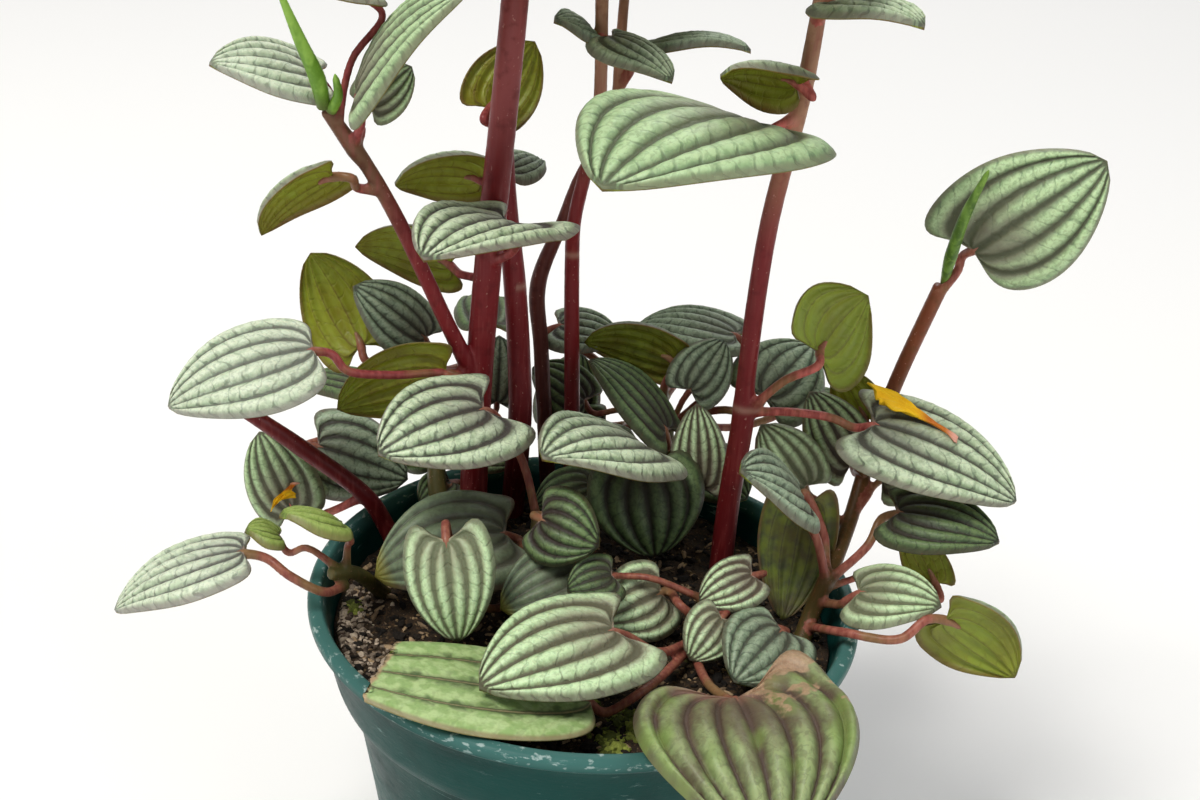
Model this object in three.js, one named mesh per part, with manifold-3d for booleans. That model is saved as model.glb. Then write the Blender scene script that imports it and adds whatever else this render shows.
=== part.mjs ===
// A potted peperomia: a tapered nursery pot filled with soil, thick red stems on red stalks,
// and fleshy heart-shaped leaves whose veins are sunk in grooves from the stalk to the tip.
// Millimetres, +Z up. The origin is the middle of the pot's flat underside, and -Y is the front.

import * as THREE from "three";
import { mergeVertices } from "three/addons/utils/BufferGeometryUtils.js";
import Module from "manifold-3d";

const wasm = await Module();
wasm.setup();

// ---------------------------------------------------------------- driving dimensions

const RIM_HEIGHT = 90;
const RIM_RADIUS = 54;
const RIM_WIDTH = 3;
const LIP_HEIGHT = 2.6;
const LIP_ROUND = 0.8;
const COLLAR_HEIGHT = 18;
const COLLAR_RADIUS = 51.8;
const COLLAR_FOOT_RADIUS = 48.8;
const SHOULDER = 1.2;
const BODY_RADIUS = 45.6;
const FOOT_RADIUS = 34;
const WALL = 1.3;
const FLOOR = 2;
const DRAIN_HOLES = 4;
const DRAIN_RADIUS = 4;
const DRAIN_PLACE = 0.74;
const POT_SIDES = 32;

const SOIL_BELOW_RIM = 8;
const SOIL_TOP_RADIUS = 49;
const SOIL_LUMPS = 0.9;
const CLEARANCE = 0.3;
const ROOT_DEPTH = 9;

const STEM_SIDES = 6;
const STALK_SIDES = 4;
const STALK_RADIUS = 1.0;
const THIN_STALK = 0.8;
const STALK_BEND = 3;
const SEATED = 0.8;

const BLADE = 0.9;
const LOBE_PLACE = 0.14;
const LOBE_LEVEL = 12;
const LARGE_WIDTH = 30;
const MIDDLING_WIDTH = 20;
const SMALL_WIDTH = 15;
const TEAR_SLANT = -14;
const FLORET = 0.7;
const FLORET_LIFT = 0.8;
const FLORET_STEPS = 4;

// How far a shoot's faces may move when they are made fewer.
const FINENESS = 0.2;

// What counts as two solids that meet, in cubic millimetres.
const MEETING = 0.005;

const rad = THREE.MathUtils.degToRad;
const vec = (x, y, z) => new THREE.Vector3(x, y, z);
const SOIL_HEIGHT = RIM_HEIGHT - SOIL_BELOW_RIM;
const COLLAR_FOOT = RIM_HEIGHT - COLLAR_HEIGHT;

// ---------------------------------------------------------------- where things are seen

// The eye that the plant is seen from, so that a place can be given as the pixel that it is seen
// at in a 1200 x 800 frame, with how far back it stands.
const EYE = vec(0.4, -250.9, RIM_HEIGHT + 162.3);
const EYE_DOWN = rad(25.9);
const EYE_ROLL = rad(3.98);
const EYE_FOCUS = 1500;
const FRAME_MIDDLE = [600, 400];

const eyeAhead = vec(0, Math.cos(EYE_DOWN), -Math.sin(EYE_DOWN));
const eyeRight = vec(1, 0, 0).applyAxisAngle(eyeAhead, -EYE_ROLL);
const eyeUp = eyeRight.clone().cross(eyeAhead);

// The direction from the eye through a pixel.
function sight(px, py) {
  return eyeAhead
    .clone()
    .addScaledVector(eyeRight, (px - FRAME_MIDDLE[0]) / EYE_FOCUS)
    .addScaledVector(eyeUp, (FRAME_MIDDLE[1] - py) / EYE_FOCUS);
}

// The point seen at a pixel, on the upright plane y = back.
function seen([px, py, back]) {
  const ray = sight(px, py);
  return EYE.clone().addScaledVector(ray, (back - EYE.y) / ray.y);
}

// The point of the soil's level seen at a pixel.
function onSoil([px, py]) {
  const ray = sight(px, py);
  return EYE.clone().addScaledVector(ray, (SOIL_HEIGHT - EYE.z) / ray.z);
}

// ---------------------------------------------------------------- solids

function manifold(geometry) {
  const bare = new THREE.BufferGeometry();
  bare.setAttribute("position", geometry.getAttribute("position").clone());
  bare.setIndex(geometry.index);
  const merged = mergeVertices(bare, 1e-4);
  const corners = Array.from(merged.index.array);
  const whole = [];
  for (let i = 0; i < corners.length; i += 3) {
    const [a, b, c] = corners.slice(i, i + 3);
    if (a !== b && b !== c && c !== a) whole.push(a, b, c);
  }
  return new wasm.Manifold(
    new wasm.Mesh({
      numProp: 3,
      vertProperties: merged.getAttribute("position").array,
      triVerts: new Uint32Array(whole),
    }),
  );
}

// The largest body of a solid, without the scraps that a cut leaves.
function largest(solid) {
  return solid.decompose().sort((a, b) => b.volume() - a.volume())[0];
}

function meshOf(name, solid, material) {
  const { vertProperties, triVerts } = solid.getMesh();
  const geometry = new THREE.BufferGeometry();
  geometry.setAttribute("position", new THREE.BufferAttribute(vertProperties, 3));
  geometry.setIndex(new THREE.BufferAttribute(triVerts, 1));
  const mesh = new THREE.Mesh(geometry.toNonIndexed(), material);
  mesh.geometry.computeVertexNormals();
  mesh.name = name;
  return mesh;
}

function geometryOf(points, faces) {
  const geometry = new THREE.BufferGeometry();
  const flat = new Float32Array(points.flatMap((p) => [p.x, p.y, p.z]));
  geometry.setAttribute("position", new THREE.BufferAttribute(flat, 3));
  geometry.setIndex(faces);
  return geometry;
}

// A round stalk along a smooth curve through the points, with a radius given at each point.
function stalk(points, radii, sides, steps) {
  const curve = new THREE.CatmullRomCurve3(points);
  const frames = curve.computeFrenetFrames(steps, false);
  const rings = [];
  const faces = [];
  for (let i = 0; i <= steps; i++) {
    const centre = curve.getPointAt(i / steps);
    const along = curve.getUtoTmapping(i / steps) * (radii.length - 1);
    const from = Math.min(Math.floor(along), radii.length - 2);
    const radius = THREE.MathUtils.lerp(radii[from], radii[from + 1], along - from);
    for (let k = 0; k < sides; k++) {
      const turn = (2 * Math.PI * k) / sides;
      rings.push(
        centre
          .clone()
          .addScaledVector(frames.normals[i], radius * Math.cos(turn))
          .addScaledVector(frames.binormals[i], radius * Math.sin(turn)),
      );
    }
  }
  for (let i = 0; i < steps; i++)
    for (let k = 0; k < sides; k++) {
      const a = i * sides + k;
      const b = i * sides + ((k + 1) % sides);
      faces.push(a, b, b + sides, a, b + sides, a + sides);
    }
  for (let k = 1; k < sides - 1; k++) {
    const last = steps * sides;
    faces.push(0, k + 1, k, last, last + k, last + k + 1);
  }
  return manifold(geometryOf(rings, faces));
}

// ---------------------------------------------------------------- leaves

// Shares of the half width, from midrib to edge, where the veins lie.
const VEINS = [0, 0.36, 0.7, 1];

// The grids that blades are made on: columns by share of the half width, rows by share of the length.
const LARGE = {
  columns: [0, 0.18, 0.36, 0.53, 0.7, 0.86, 1],
  rows: [0.02, 0.08, 0.2, 0.45, 0.72, 0.91],
};
const MIDDLING = { columns: [0, 0.18, 0.36, 0.64, 1], rows: [0.02, 0.1, 0.28, 0.57, 0.84] };
const SLIGHT = { columns: [0, 0.18, 0.36, 0.64, 1], rows: [0.08, 0.36, 0.76] };
const SMALL = { columns: [0, 0.42, 1], rows: [0.1, 0.4, 0.8] };

// How high the blade stands between two veins, from 0 on a vein to 1 midway.
function ridge(share) {
  const cell = VEINS.findLastIndex((v) => v <= Math.min(share, 0.999));
  return Math.sin((Math.PI * (share - VEINS[cell])) / (VEINS[cell + 1] - VEINS[cell]));
}

// A point of the blade's upper face: across from -1 to 1, along from 0 at the stalk to 1 at the tip.
// x runs to the tip, y across and z up, from the joint with the stalk.
function bladePoint(leaf, across, along) {
  const { length, width, arch, cup, quilt, wave, curl } = leaf;
  const share = Math.abs(across);
  const back = along / LOBE_PLACE;
  const lobe = leaf.lobe * (1 + leaf.lean * Math.sign(across));
  const reach = lobe * back * Math.exp(1 - back);
  const spread = Math.sin(Math.PI * along ** 0.78) ** 0.62;
  const x = length * THREE.MathUtils.lerp(along, along ** 1.2 - reach, share * share);
  const y = (across * width * spread) / 2;
  const way = x / length;
  const swell = Math.sin(Math.PI * along) ** 0.5;
  const bow = way > 0 ? way * (1 - way) : way / (1 - LOBE_LEVEL * way);
  const z =
    arch * length * 4 * bow -
    cup * width * 2 * (y / width) ** 2 +
    quilt * ridge(share) * swell +
    wave * share ** 2 * Math.sin(2.2 * Math.PI * along + (across > 0 ? 0.6 : 2.4)) * swell -
    curl * length * Math.max(0, along - 0.6) ** 2;
  return vec(x, y, z);
}

// The frame of a leaf: its axis from joint to tip, and its upper face turned towards `face`.
function bladeFrame(leaf) {
  const axis = leaf.tip.clone().sub(leaf.joint).normalize();
  const up = vec(...leaf.face).addScaledVector(axis, -axis.dot(vec(...leaf.face))).normalize();
  const across = up.clone().cross(axis);
  return new THREE.Matrix4().makeBasis(axis, across, up).setPosition(leaf.joint);
}

function gridOf(width) {
  if (width >= LARGE_WIDTH) return LARGE;
  if (width >= MIDDLING_WIDTH) return MIDDLING;
  return width > SMALL_WIDTH ? SLIGHT : SMALL;
}

// The blade as a closed solid, `above` and `below` its upper face.
function blade(leaf, above, below) {
  const { columns: half, rows } = gridOf(leaf.width);
  const columns = [...half.slice(1).reverse().map((c) => -c), ...half];
  const points = [];
  const faces = [];
  for (const lift of [above, -below]) {
    const lifted = (across, along) => bladePoint(leaf, across, along).add(vec(0, 0, lift));
    const inner = rows.flatMap((along) => columns.map((across) => lifted(across, along)));
    points.push(lifted(0, 0), ...inner, lifted(0, 1));
  }
  const perFace = points.length / 2;
  const at = (row, column) => 1 + row * columns.length + column;
  const tip = perFace - 1;
  const triangle = (a, b, c) => {
    faces.push(a, b, c);
    faces.push(a + perFace, c + perFace, b + perFace);
  };
  for (let c = 0; c < columns.length - 1; c++) {
    triangle(0, at(0, c), at(0, c + 1));
    for (let r = 0; r < rows.length - 1; r++) {
      triangle(at(r, c), at(r + 1, c), at(r + 1, c + 1));
      triangle(at(r, c), at(r + 1, c + 1), at(r, c + 1));
    }
    triangle(at(rows.length - 1, c), tip, at(rows.length - 1, c + 1));
  }
  for (const [column, turned] of [[0, false], [columns.length - 1, true]]) {
    const edge = [0, ...rows.map((_, r) => at(r, column)), tip];
    for (let i = 0; i < edge.length - 1; i++) {
      const [a, b] = turned ? [edge[i + 1], edge[i]] : [edge[i], edge[i + 1]];
      faces.push(a, a + perFace, b + perFace, a, b + perFace, b);
    }
  }
  const solid = manifold(geometryOf(points, faces));
  const kept = leaf.torn ? solid.subtract(tear(leaf)) : solid;
  return kept.transform(bladeFrame(leaf).elements);
}

// What is torn off past the share `torn` of the blade's length, along a slanted line.
function tear({ length, torn }) {
  const gone = new THREE.BoxGeometry(length, 3 * length, length).translate(length / 2, 0, 0);
  return manifold(gone.rotateZ(rad(TEAR_SLANT)).translate(length * torn, 0, 0));
}

// A leaf's shape where nothing else is said of it. `face` is where its upper side looks, and `lean`
// is how much longer the lobe on its positive side is than the other.
const LEAF_SHAPE = {
  face: [0, -0.3, 1],
  lobe: 0.24,
  lean: 0,
  arch: 0.08,
  cup: 0.1,
  quilt: 0.6,
  wave: 0.3,
  curl: 0.2,
};

// A place: a point itself, a pixel with how far back it stands, or a pixel of the soil's level.
function place(spot) {
  if (spot.isVector3) return spot;
  return spot.length === 2 ? onSoil(spot) : seen(spot);
}

// A leaf from its joint to its tip. `way` leads its stalk from the stem to the joint.
function leafOf(entry) {
  const leaf = { ...LEAF_SHAPE, ...entry, joint: place(entry.joint), tip: place(entry.tip) };
  leaf.length = leaf.joint.distanceTo(leaf.tip);
  return leaf;
}

// ---------------------------------------------------------------- the plant

// Each shoot has its stems, as places with the radius there, its large leaves, and its small ones.
// The large ones are bodies of their own. The small ones are one body with the shoot.
const SHOOTS = [
  {
    name: "stem_tall_left",
    colour: 0x7a1f2d,
    stems: [
      [
        [[472, 536], 3.0], [[478, 390, 30], 2.9], [[489, 255, 29], 2.8], [[503, 120, 28], 2.7],
        [[515, 0, 27], 2.6], [[523, -95, 27], 1.9],
      ],
      [
        [[478, 385, 29], 2.0], [[448, 325, 25], 1.6], [[400, 224, 20], 1.5], [[367, 166, 17], 1.4],
        [[355, 150, 16], 1.7], [[326, 109, 14], 1.3],
      ],
    ],
    large: [
      {
        name: "leaf_a1", joint: [316, 74, 22], tip: [210, 59, 15], width: 19,
        way: [[346, 138, 15.8], [331, 106, 22]], face: [-0.1, -0.35, 1],
      },
      {
        name: "leaf_a2", joint: [356, 94, 12], tip: [466, -18, 4], width: 20,
        way: [[354, 146, 16], [361, 122, 12.5]], face: [-0.5, -0.4, 0.9],
        lobe: 0.14,
      },
      {
        name: "leaf_b3", joint: [509, 222, 14], tip: [424, 254, -6], width: 25.5,
        way: [[492, 262, 28], [512, 252, 22]], face: [0, -0.02, 1], lobe: 0.48, cup: -0.04,
      },
      {
        name: "leaf_f1", joint: [313, 349, 12], tip: [166, 403, 3], width: 25,
        way: [[472, 372, 28], [429, 373, 22], [388, 375, 18], [346, 370, 14]], face: [-0.1, -0.42, 1],
        lobe: 0.08,
      },
      {
        name: "leaf_f5", joint: [446, 373, 25], tip: [338, 405, 26], width: 19,
        way: [[474, 384, 29], [460, 376, 27]], face: [0, 1, 0.2],
      },
      {
        name: "leaf_top_b1", joint: [492, -105, 20], tip: [400, -80, 4], width: 25,
        way: [[522, -80, 27], [508, -96, 24]], face: [0, -0.1, 1],
      },
      {
        name: "leaf_top_b2", joint: [566, -118, 28], tip: [652, -124, 18], width: 23,
        way: [[522, -84, 27], [540, -106, 28]], face: [0, -0.1, 1],
      },
    ],
    small: [
      {
        name: "leaf_top_b3", joint: [523, -108, 36], tip: [535, -118, 64], width: 24,
        way: [[522, -90, 28], [523, -104, 32]], face: [0, 0.2, 1],
      },
      {
        name: "leaf_a4", joint: [330, 174, 14], tip: [258, 230, 12], width: 15,
        way: [[380, 190, 18], [358, 188, 17]], face: [0, 0.5, 0.8],
      },
      {
        name: "leaf_a3", joint: [370, 103, 18], tip: [412, 66, 22], width: 10,
        way: [[356, 148, 16], [362, 130, 17]], face: [0.4, -0.6, 0.6],
      },
      {
        name: "leaf_a5", joint: [368, -4, 18], tip: [306, -8, 12], width: 13,
        way: [[338, 124, 14], [352, 60, 17]], face: [0, 0.1, 1],
      },
      {
        name: "leaf_b4", joint: [450, 262, 38], tip: [357, 243, 40], width: 15,
        way: [[488, 280, 30], [468, 276, 35]], face: [0, 1, 0.3],
      },
    ],
  },
  {
    name: "stem_second_left",
    colour: 0x7a1f2d,
    stems: [
      [
        [[512, 512], 2.6], [[520, 415, 37], 2.6], [[519, 359, 38], 2.5], [[515, 287, 38], 2.4],
        [[506, 190, 38], 2.1], [[504, 80, 38], 1.5],
      ],
    ],
    large: [
      {
        name: "leaf_b2", joint: [478, 176, 40], tip: [394, 180, 34], width: 17,
        way: [[507, 200, 38], [492, 186, 40]], face: [0, 0.8, 0.6],
      },
    ],
    small: [
      {
        name: "leaf_b1", joint: [490, 108, 42], tip: [534, 42, 48], width: 15,
        way: [[505, 150, 38], [497, 128, 41]], face: [0.2, 1, 0.3],
      },
      {
        name: "leaf_b5", joint: [506, 168, 46], tip: [540, 158, 54], width: 13,
        way: [[506, 192, 39], [506, 180, 43]], face: [0, -0.2, 1],
      },
    ],
  },
  {
    name: "stem_middle",
    colour: 0x74202c,
    stems: [
      [
        [[571, 506], 1.9], [[572, 412, 40], 1.75], [[572, 270, 40], 1.6], [[574, 222, 38], 1.5],
        [[584, 178, 37], 1.4], [[598, 120, 35], 1.3], [[602, 0, 33], 1.3], [[603, -40, 33], 1.1],
      ],
    ],
    large: [
      {
        name: "leaf_top_c1", joint: [594, -52, 26], tip: [556, -24, 4], width: 18,
        way: [[603, -30, 33], [597, -46, 30]], face: [0, 0, 1],
      },
      {
        name: "leaf_top_c2", joint: [618, -58, 36], tip: [690, -62, 44], width: 20,
        way: [[603, -34, 33], [610, -50, 34]], face: [0, 0, 1],
      },
    ],
    small: [
      {
        name: "leaf_c1", joint: [612, 36, 30], tip: [674, 78, 22], width: 12,
        way: [[600, 60, 33.5], [605, 46, 32]], face: [0.1, -0.2, 1], cup: 0.3,
      },
      {
        name: "leaf_c2", joint: [592, 30, 34], tip: [556, 18, 30], width: 11,
        way: [[601, 50, 33.5], [597, 40, 34]], face: [-0.1, -0.3, 1],
      },
    ],
  },
  {
    name: "stem_middle_back",
    colour: 0x5e2b30,
    stems: [
      [
        [[549, 508], 1.9], [[541, 347, 46], 1.7], [[538, 285, 46], 1.8], [[563, 221, 45], 1.4],
        [[579, 180, 44], 1.3], [[600, 142, 43], 1.2], [[614, 112, 42], 1.1], [[620, 50, 41], 1.1],
        [[626, -20, 40], 1.0],
      ],
    ],
    large: [
      {
        name: "leaf_c3", joint: [650, 44, 40], tip: [751, 46, 36], width: 16,
        way: [[617, 90, 42], [630, 72, 40]], face: [0, 0.1, 1],
      },
    ],
    small: [
      {
        name: "leaf_top_c3", joint: [640, -30, 46], tip: [700, -40, 62], width: 20,
        way: [[625, -10, 40], [632, -24, 43]], face: [0, 0, 1],
      },
    ],
  },
  {
    name: "stem_tall_right",
    colour: 0x7a1f2d,
    stems: [
      [
        [[718, 590], 2.5], [[729, 500, 15], 2.3], [[743, 418, 15], 2.3], [[746, 380, 15], 1.9],
        [[768, 230, 13], 1.8], [[804, 89, 10], 1.6], [[821, 0, 8], 1.4], [[830, -50, 6], 1.1],
      ],
    ],
    large: [
      {
        name: "leaf_d1", joint: [750, 121, 8], tip: [603, 179, -24], width: 44,
        way: [[801, 112, 10.5], [782, 124, 9]], face: [0, -0.06, 1], lobe: 0.1, cup: 0.02,
      },
      {
        name: "leaf_d3", joint: [817, 352, 17], tip: [864, 295, 26], width: 23,
        way: [[750, 410, 14], [784, 381, 13.6]], face: [-0.1, 1, 0.1], lobe: 0.24,
      },
      {
        name: "leaf_d4", joint: [874, 424, 10], tip: [1019, 498, 2], width: 25,
        way: [[748, 412, 15], [790, 412, 13], [832, 418, 12]], face: [0.15, -0.35, 1],
      },
      {
        name: "leaf_d5", joint: [838, 2, 6], tip: [926, 22, -2], width: 20,
        way: [[824, 6, 8], [830, 2, 7]], face: [0.1, 0, 1],
      },
      {
        name: "leaf_top_d1", joint: [822, -66, 2], tip: [735, -50, -14], width: 24,
        way: [[831, -40, 6], [826, -58, 4]], face: [0, -0.1, 1],
      },
      {
        name: "leaf_top_d2", joint: [842, -66, 12], tip: [880, -76, 34], width: 22,
        way: [[832, -44, 7], [838, -60, 9]], face: [0, 0.1, 1],
      },
    ],
    small: [
      {
        name: "leaf_d2", joint: [796, 80, 5], tip: [720, 72, 2], width: 14,
        way: [[812, 78, 9.5], [804, 78, 7]], face: [0, 0.7, 0.8], cup: 0.4,
      },
    ],
  },
  {
    name: "stem_leaning_left",
    colour: 0x7a1f2d,
    stems: [
      [
        [[402, 560], 2.0], [[385, 524, 19], 1.9], [[367, 497, 18], 1.8], [[300, 447, 14], 1.8],
        [[243, 409, 11], 1.5],
      ],
    ],
    large: [
      {
        name: "leaf_f6", joint: [292, 508, 20], tip: [258, 432, 26], width: 15.5,
        way: [[364, 496, 18], [330, 512, 18]], face: [-0.2, -0.8, 0.6],
      },
    ],
    small: [],
  },
  {
    name: "shoot_left",
    colour: 0x8a6a50,
    stems: [
      [[[382, 592], 1.6], [[352, 572, -6], 1.4], [[330, 574, -10], 1.2]],
    ],
    large: [
      {
        name: "leaf_f8", joint: [243, 551, -16], tip: [112, 606, -22], width: 20,
        way: [[345, 585, -8], [324, 592, -15], [290, 576, -17]], face: [0, 0, 1],
        lobe: 0.1,
      },
    ],
    small: [
      {
        name: "leaf_f9", joint: [340, 522, -8], tip: [280, 512, -12], width: 12,
        way: [[346, 568, -7], [348, 545, -7]], face: [0, 0.3, 1], cup: 0.35,
      },
      {
        name: "leaf_f10", joint: [279, 535, -6], tip: [246, 528, -8], width: 9,
        way: [[340, 570, -8], [307, 548, -7]], face: [0, 0, 1],
      },
    ],
  },
  {
    name: "shoot_back_left",
    colour: 0x7d6a4c,
    stems: [
      [[[446, 546], 2.2], [[437, 484, 31], 2.1], [[436, 430, 37], 1.7], [[420, 370, 38], 1.3]],
    ],
    large: [
      {
        name: "leaf_f7", joint: [318, 446, 31], tip: [408, 478, 29], width: 20,
        way: [[436, 424, 37.3], [400, 436, 40], [342, 436, 37]], face: [0, -0.7, 0.7],
      },
      {
        name: "leaf_f3", joint: [362, 344, 36], tip: [312, 252, 40], width: 19,
        way: [[424, 380, 38], [390, 366, 38]], face: [-0.1, 1, 0.1],
      },
    ],
    small: [
      {
        name: "leaf_k9", joint: vec(-26, 62, 118), tip: vec(-30, 88, 113), width: 15,
        way: [[422, 376, 38], vec(-28, 52, 113)], face: [0, 0.3, 1],
      },
      {
        name: "leaf_k10", joint: vec(-50, 52, 104), tip: vec(-72, 66, 98), width: 15,
        way: [[438, 416, 38], vec(-40, 46, 100)], face: [-0.3, 0.2, 1],
      },
      {
        name: "leaf_f4", joint: [425, 338, 36], tip: [355, 285, 34], width: 15,
        way: [[421, 372, 38], [426, 352, 37]], face: [0, -0.6, 0.8],
      },
      {
        name: "leaf_k11", joint: [497, 402, 44], tip: [500, 336, 48], width: 14,
        way: [[436, 424, 37.3], [470, 428, 43]], face: [0.2, -0.9, 0.4],
      },
      {
        name: "leaf_k18", joint: [450, 481, 34], tip: [420, 502, 28], width: 10,
        way: [[438, 490, 30.5], [450, 486, 33]], face: [0, -0.5, 0.8],
      },
      {
        name: "leaf_k12", joint: [428, 440, 44], tip: [390, 456, 44], width: 14,
        way: [[436, 432, 36.8], [434, 438, 41]], face: [0, -0.5, 0.8],
      },
      {
        name: "leaf_k13", joint: [476, 440, 45], tip: [521, 460, 45], width: 13,
        way: [[436.5, 458, 34], [458, 448, 41]], face: [0, -0.6, 0.8],
      },
    ],
  },
  {
    name: "shoot_front_left",
    colour: 0x8a6a50,
    stems: [
      [[[516, 592], 1.7], [[532, 560, 7], 1.5], [[538, 520, 11], 1.4]],
    ],
    large: [
      {
        name: "leaf_g1", joint: [484, 409, 11], tip: [379, 451, -4], width: 24.5,
        way: [[538, 524, 11], [522, 460, 14]], face: [0.05, -0.4, 0.9], lobe: 0.36,
      },
      {
        name: "leaf_g6", joint: [505, 533, 8], tip: [374, 574, -1], width: 25.5,
        way: [[531, 558, 7.5], [524, 548, 7.5]], face: [0, -0.4, 0.9], arch: 0.16,
      },
      {
        name: "leaf_g7", joint: [446, 541, -12], tip: [458, 643, -20], width: 17,
        way: [[521, 583, 7.4], [498, 608, -3], [462, 592, -11]], face: [0, -0.85, 0.5], lobe: 0.26,
      },
      {
        name: "leaf_g9", joint: [583, 567, -3], tip: [500, 608, -10], width: 17,
        way: [[520, 585, 7.4], [562, 590, 1]], face: [0, -0.5, 0.8],
      },
    ],
    small: [],
  },
  {
    name: "shoot_centre",
    colour: 0x8a6a50,
    stems: [
      [[[648, 545], 1.7], [[644, 505, 28], 1.5], [[642, 476, 27], 1.4]],
    ],
    large: [
      {
        name: "leaf_g2", joint: [642, 444, 18], tip: [545, 453, -3], width: 26,
        way: [[643, 482, 27.2], [644, 464, 24]], face: [0.1, -0.1, 1], wave: 0.8,
      },
      {
        name: "leaf_g5", joint: [643, 470, 20], tip: [655, 558, 13], width: 24,
        way: [[644, 500, 28], [640, 484, 25]], face: [0, -0.9, 0.4],
      },
      {
        name: "leaf_g8", joint: [541, 519, -2], tip: [598, 546, -8], width: 15.5,
        way: [[645, 512, 28], [586, 512, 24], [550, 516, 6]], face: [0, -0.85, 0.5],
      },
    ],
    small: [
      {
        name: "leaf_g3", joint: [666, 429, 27], tip: [592, 357, 33], width: 15,
        way: [[643, 480, 27.2], [660, 450, 27]], face: [0.5, -0.3, 0.8],
      },
      {
        name: "leaf_g4", joint: [700, 486, 22], tip: [697, 404, 28], width: 12,
        way: [[644, 503, 28], [672, 506, 26]], face: [0, -0.9, 0.4],
      },
      {
        name: "leaf_k19", joint: [590, 486, 25], tip: [534, 506, 21], width: 13,
        way: [[644, 516, 23.5], [612, 498, 24]], face: [0, -0.5, 0.8],
      },
    ],
  },
  {
    name: "shoot_front",
    colour: 0x8a6a50,
    stems: [
      [[[690, 655], 1.7], [[700, 620, -8], 1.5], [[710, 590, -4], 1.3]],
    ],
    large: [
      {
        name: "leaf_g10", joint: [614, 630, -26], tip: [479, 684, -40], width: 25,
        way: [[695, 640, -9.4], [657, 652, -20]], face: [0, -0.22, 1], lobe: 0.3,
      },
      {
        name: "leaf_g11", joint: [661, 593, -4], tip: [601, 621, -11], width: 16,
        way: [[700, 622, -8], [680, 605, -8]], face: [0, -0.8, 0.6],
      },
      {
        name: "leaf_h5", joint: [782, 630, -12], tip: [735, 680, -25], width: 18,
        way: [[702, 615, -7.5], [750, 622, -9]], face: [0, -0.5, 0.8],
      },
      {
        name: "leaf_h6", joint: [736, 698, -39], tip: [778, 850, -68], width: 38,
        way: [[692, 650, -10], [710, 686, -28]], face: [0, -0.3, 1], quilt: 0.9, arch: 0.16, cup: 0.02,
        lobe: 0.34, lean: 0.3,
      },
      {
        name: "leaf_g13", joint: [590, 700, -33], tip: [300, 660, -38], width: 31,
        way: [[693, 646, -9.8], [644, 690, -29]], face: [0, 0.12, 1], torn: 0.74, cup: 0, arch: 0,
        curl: 0, lobe: 0.05,
      },
    ],
    small: [
      {
        name: "leaf_h3", joint: [752, 575, -4], tip: [699, 602, -8], width: 11,
        way: [[708, 598, -5], [735, 585, -4]], face: [0, -0.6, 0.8],
      },
      {
        name: "leaf_h4", joint: [722, 618, -12], tip: [690, 660, -18], width: 11,
        way: [[704, 608, -7], [714, 612, -9]], face: [0, -0.8, 0.6],
      },
      {
        name: "leaf_g12", joint: [612, 575, -9], tip: [567, 590, -12], width: 11,
        way: [[706, 600, -5], [650, 578, -7]], face: [0, -0.6, 0.8],
      },
    ],
  },
  {
    name: "shoot_right",
    colour: 0x8a6a50,
    stems: [
      [[[800, 645], 1.9], [[812, 612, -1], 1.8], [[826, 580, 0], 1.7]],
      [
        [[824, 588, 0], 1.7], [[850, 520, 14], 1.6], [[874, 440, 24], 1.6], [[897, 380, 25], 1.55],
        [[941, 286, 20], 1.5],
      ],
    ],
    large: [
      {
        name: "leaf_e1", joint: [973, 251, 16], tip: [1107, 162, 12], width: 25,
        way: [[936, 297, 20.5], [958, 270, 18]], face: [0.1, -0.88, 0.5], lobe: 0.16, lean: 0.6,
      },
      {
        name: "leaf_h1", joint: [802, 496, -4], tip: [744, 469, -12], width: 18,
        way: [[826, 582, 0], [815, 535, -2]], face: [-0.2, -0.4, 0.9],
      },
      {
        name: "leaf_h2", joint: [803, 503, 10], tip: [783, 618, 4], width: 15.5,
        way: [[826, 578, 0], [824, 535, 6]], face: [0.2, 1, 0.1],
      },
      {
        name: "leaf_h7", joint: [898, 512, 3], tip: [1000, 539, -4], width: 17,
        way: [[827, 582, 0], [868, 545, 2]], face: [0.1, -0.4, 0.9],
      },
      {
        name: "leaf_h8", joint: [859, 592, -9], tip: [941, 603, -15], width: 15.5,
        way: [[818, 602, 0], [842, 604, -6]], face: [0.1, -0.4, 0.9],
      },
      {
        name: "leaf_h9", joint: [948, 618, -16], tip: [1018, 673, -22], width: 22,
        way: [[806, 626, -1], [842, 632, -15], [900, 639, -19]], face: [0.5, 0.8, 0.3],
      },
    ],
    small: [
      {
        name: "leaf_h10", joint: [935, 580, 4], tip: [905, 527, 6], width: 9,
        way: [[824, 588, 0], [880, 575, 3]], face: [0, 1, 0.3],
      },
      {
        name: "leaf_h12", joint: [852, 463, 22], tip: [811, 392, 26], width: 14,
        way: [[866, 474, 17.5], [858, 470, 20]], face: [0, -0.8, 0.5],
      },
      {
        name: "leaf_h13", joint: [882, 478, 17], tip: [940, 450, 17], width: 13,
        way: [[850, 520, 14.5], [868, 496, 17]], face: [0, -0.6, 0.8],
      },
      {
        name: "leaf_h15", joint: [806, 486, 15], tip: [762, 425, 18], width: 14,
        way: [[846, 532, 12.5], [830, 508, 16]], face: [0, -0.8, 0.5],
      },
      {
        name: "leaf_h16", joint: [866, 418, 28], tip: [838, 368, 32], width: 11,
        way: [[880, 436, 20], [874, 428, 24]], face: [0, 1, 0.3],
      },
    ],
  },
  {
    name: "shoot_back_right",
    colour: 0x7d6a4c,
    stems: [
      [[[676, 524], 1.7], [[668, 440, 39], 1.5], [[662, 394, 41], 1.3]],
    ],
    large: [
      {
        name: "leaf_k3", joint: [735, 334, 44], tip: [636, 322, 52], width: 18,
        way: [[667, 430, 40], [712, 390, 38]], face: [0, -0.1, 1],
      },
      {
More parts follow.
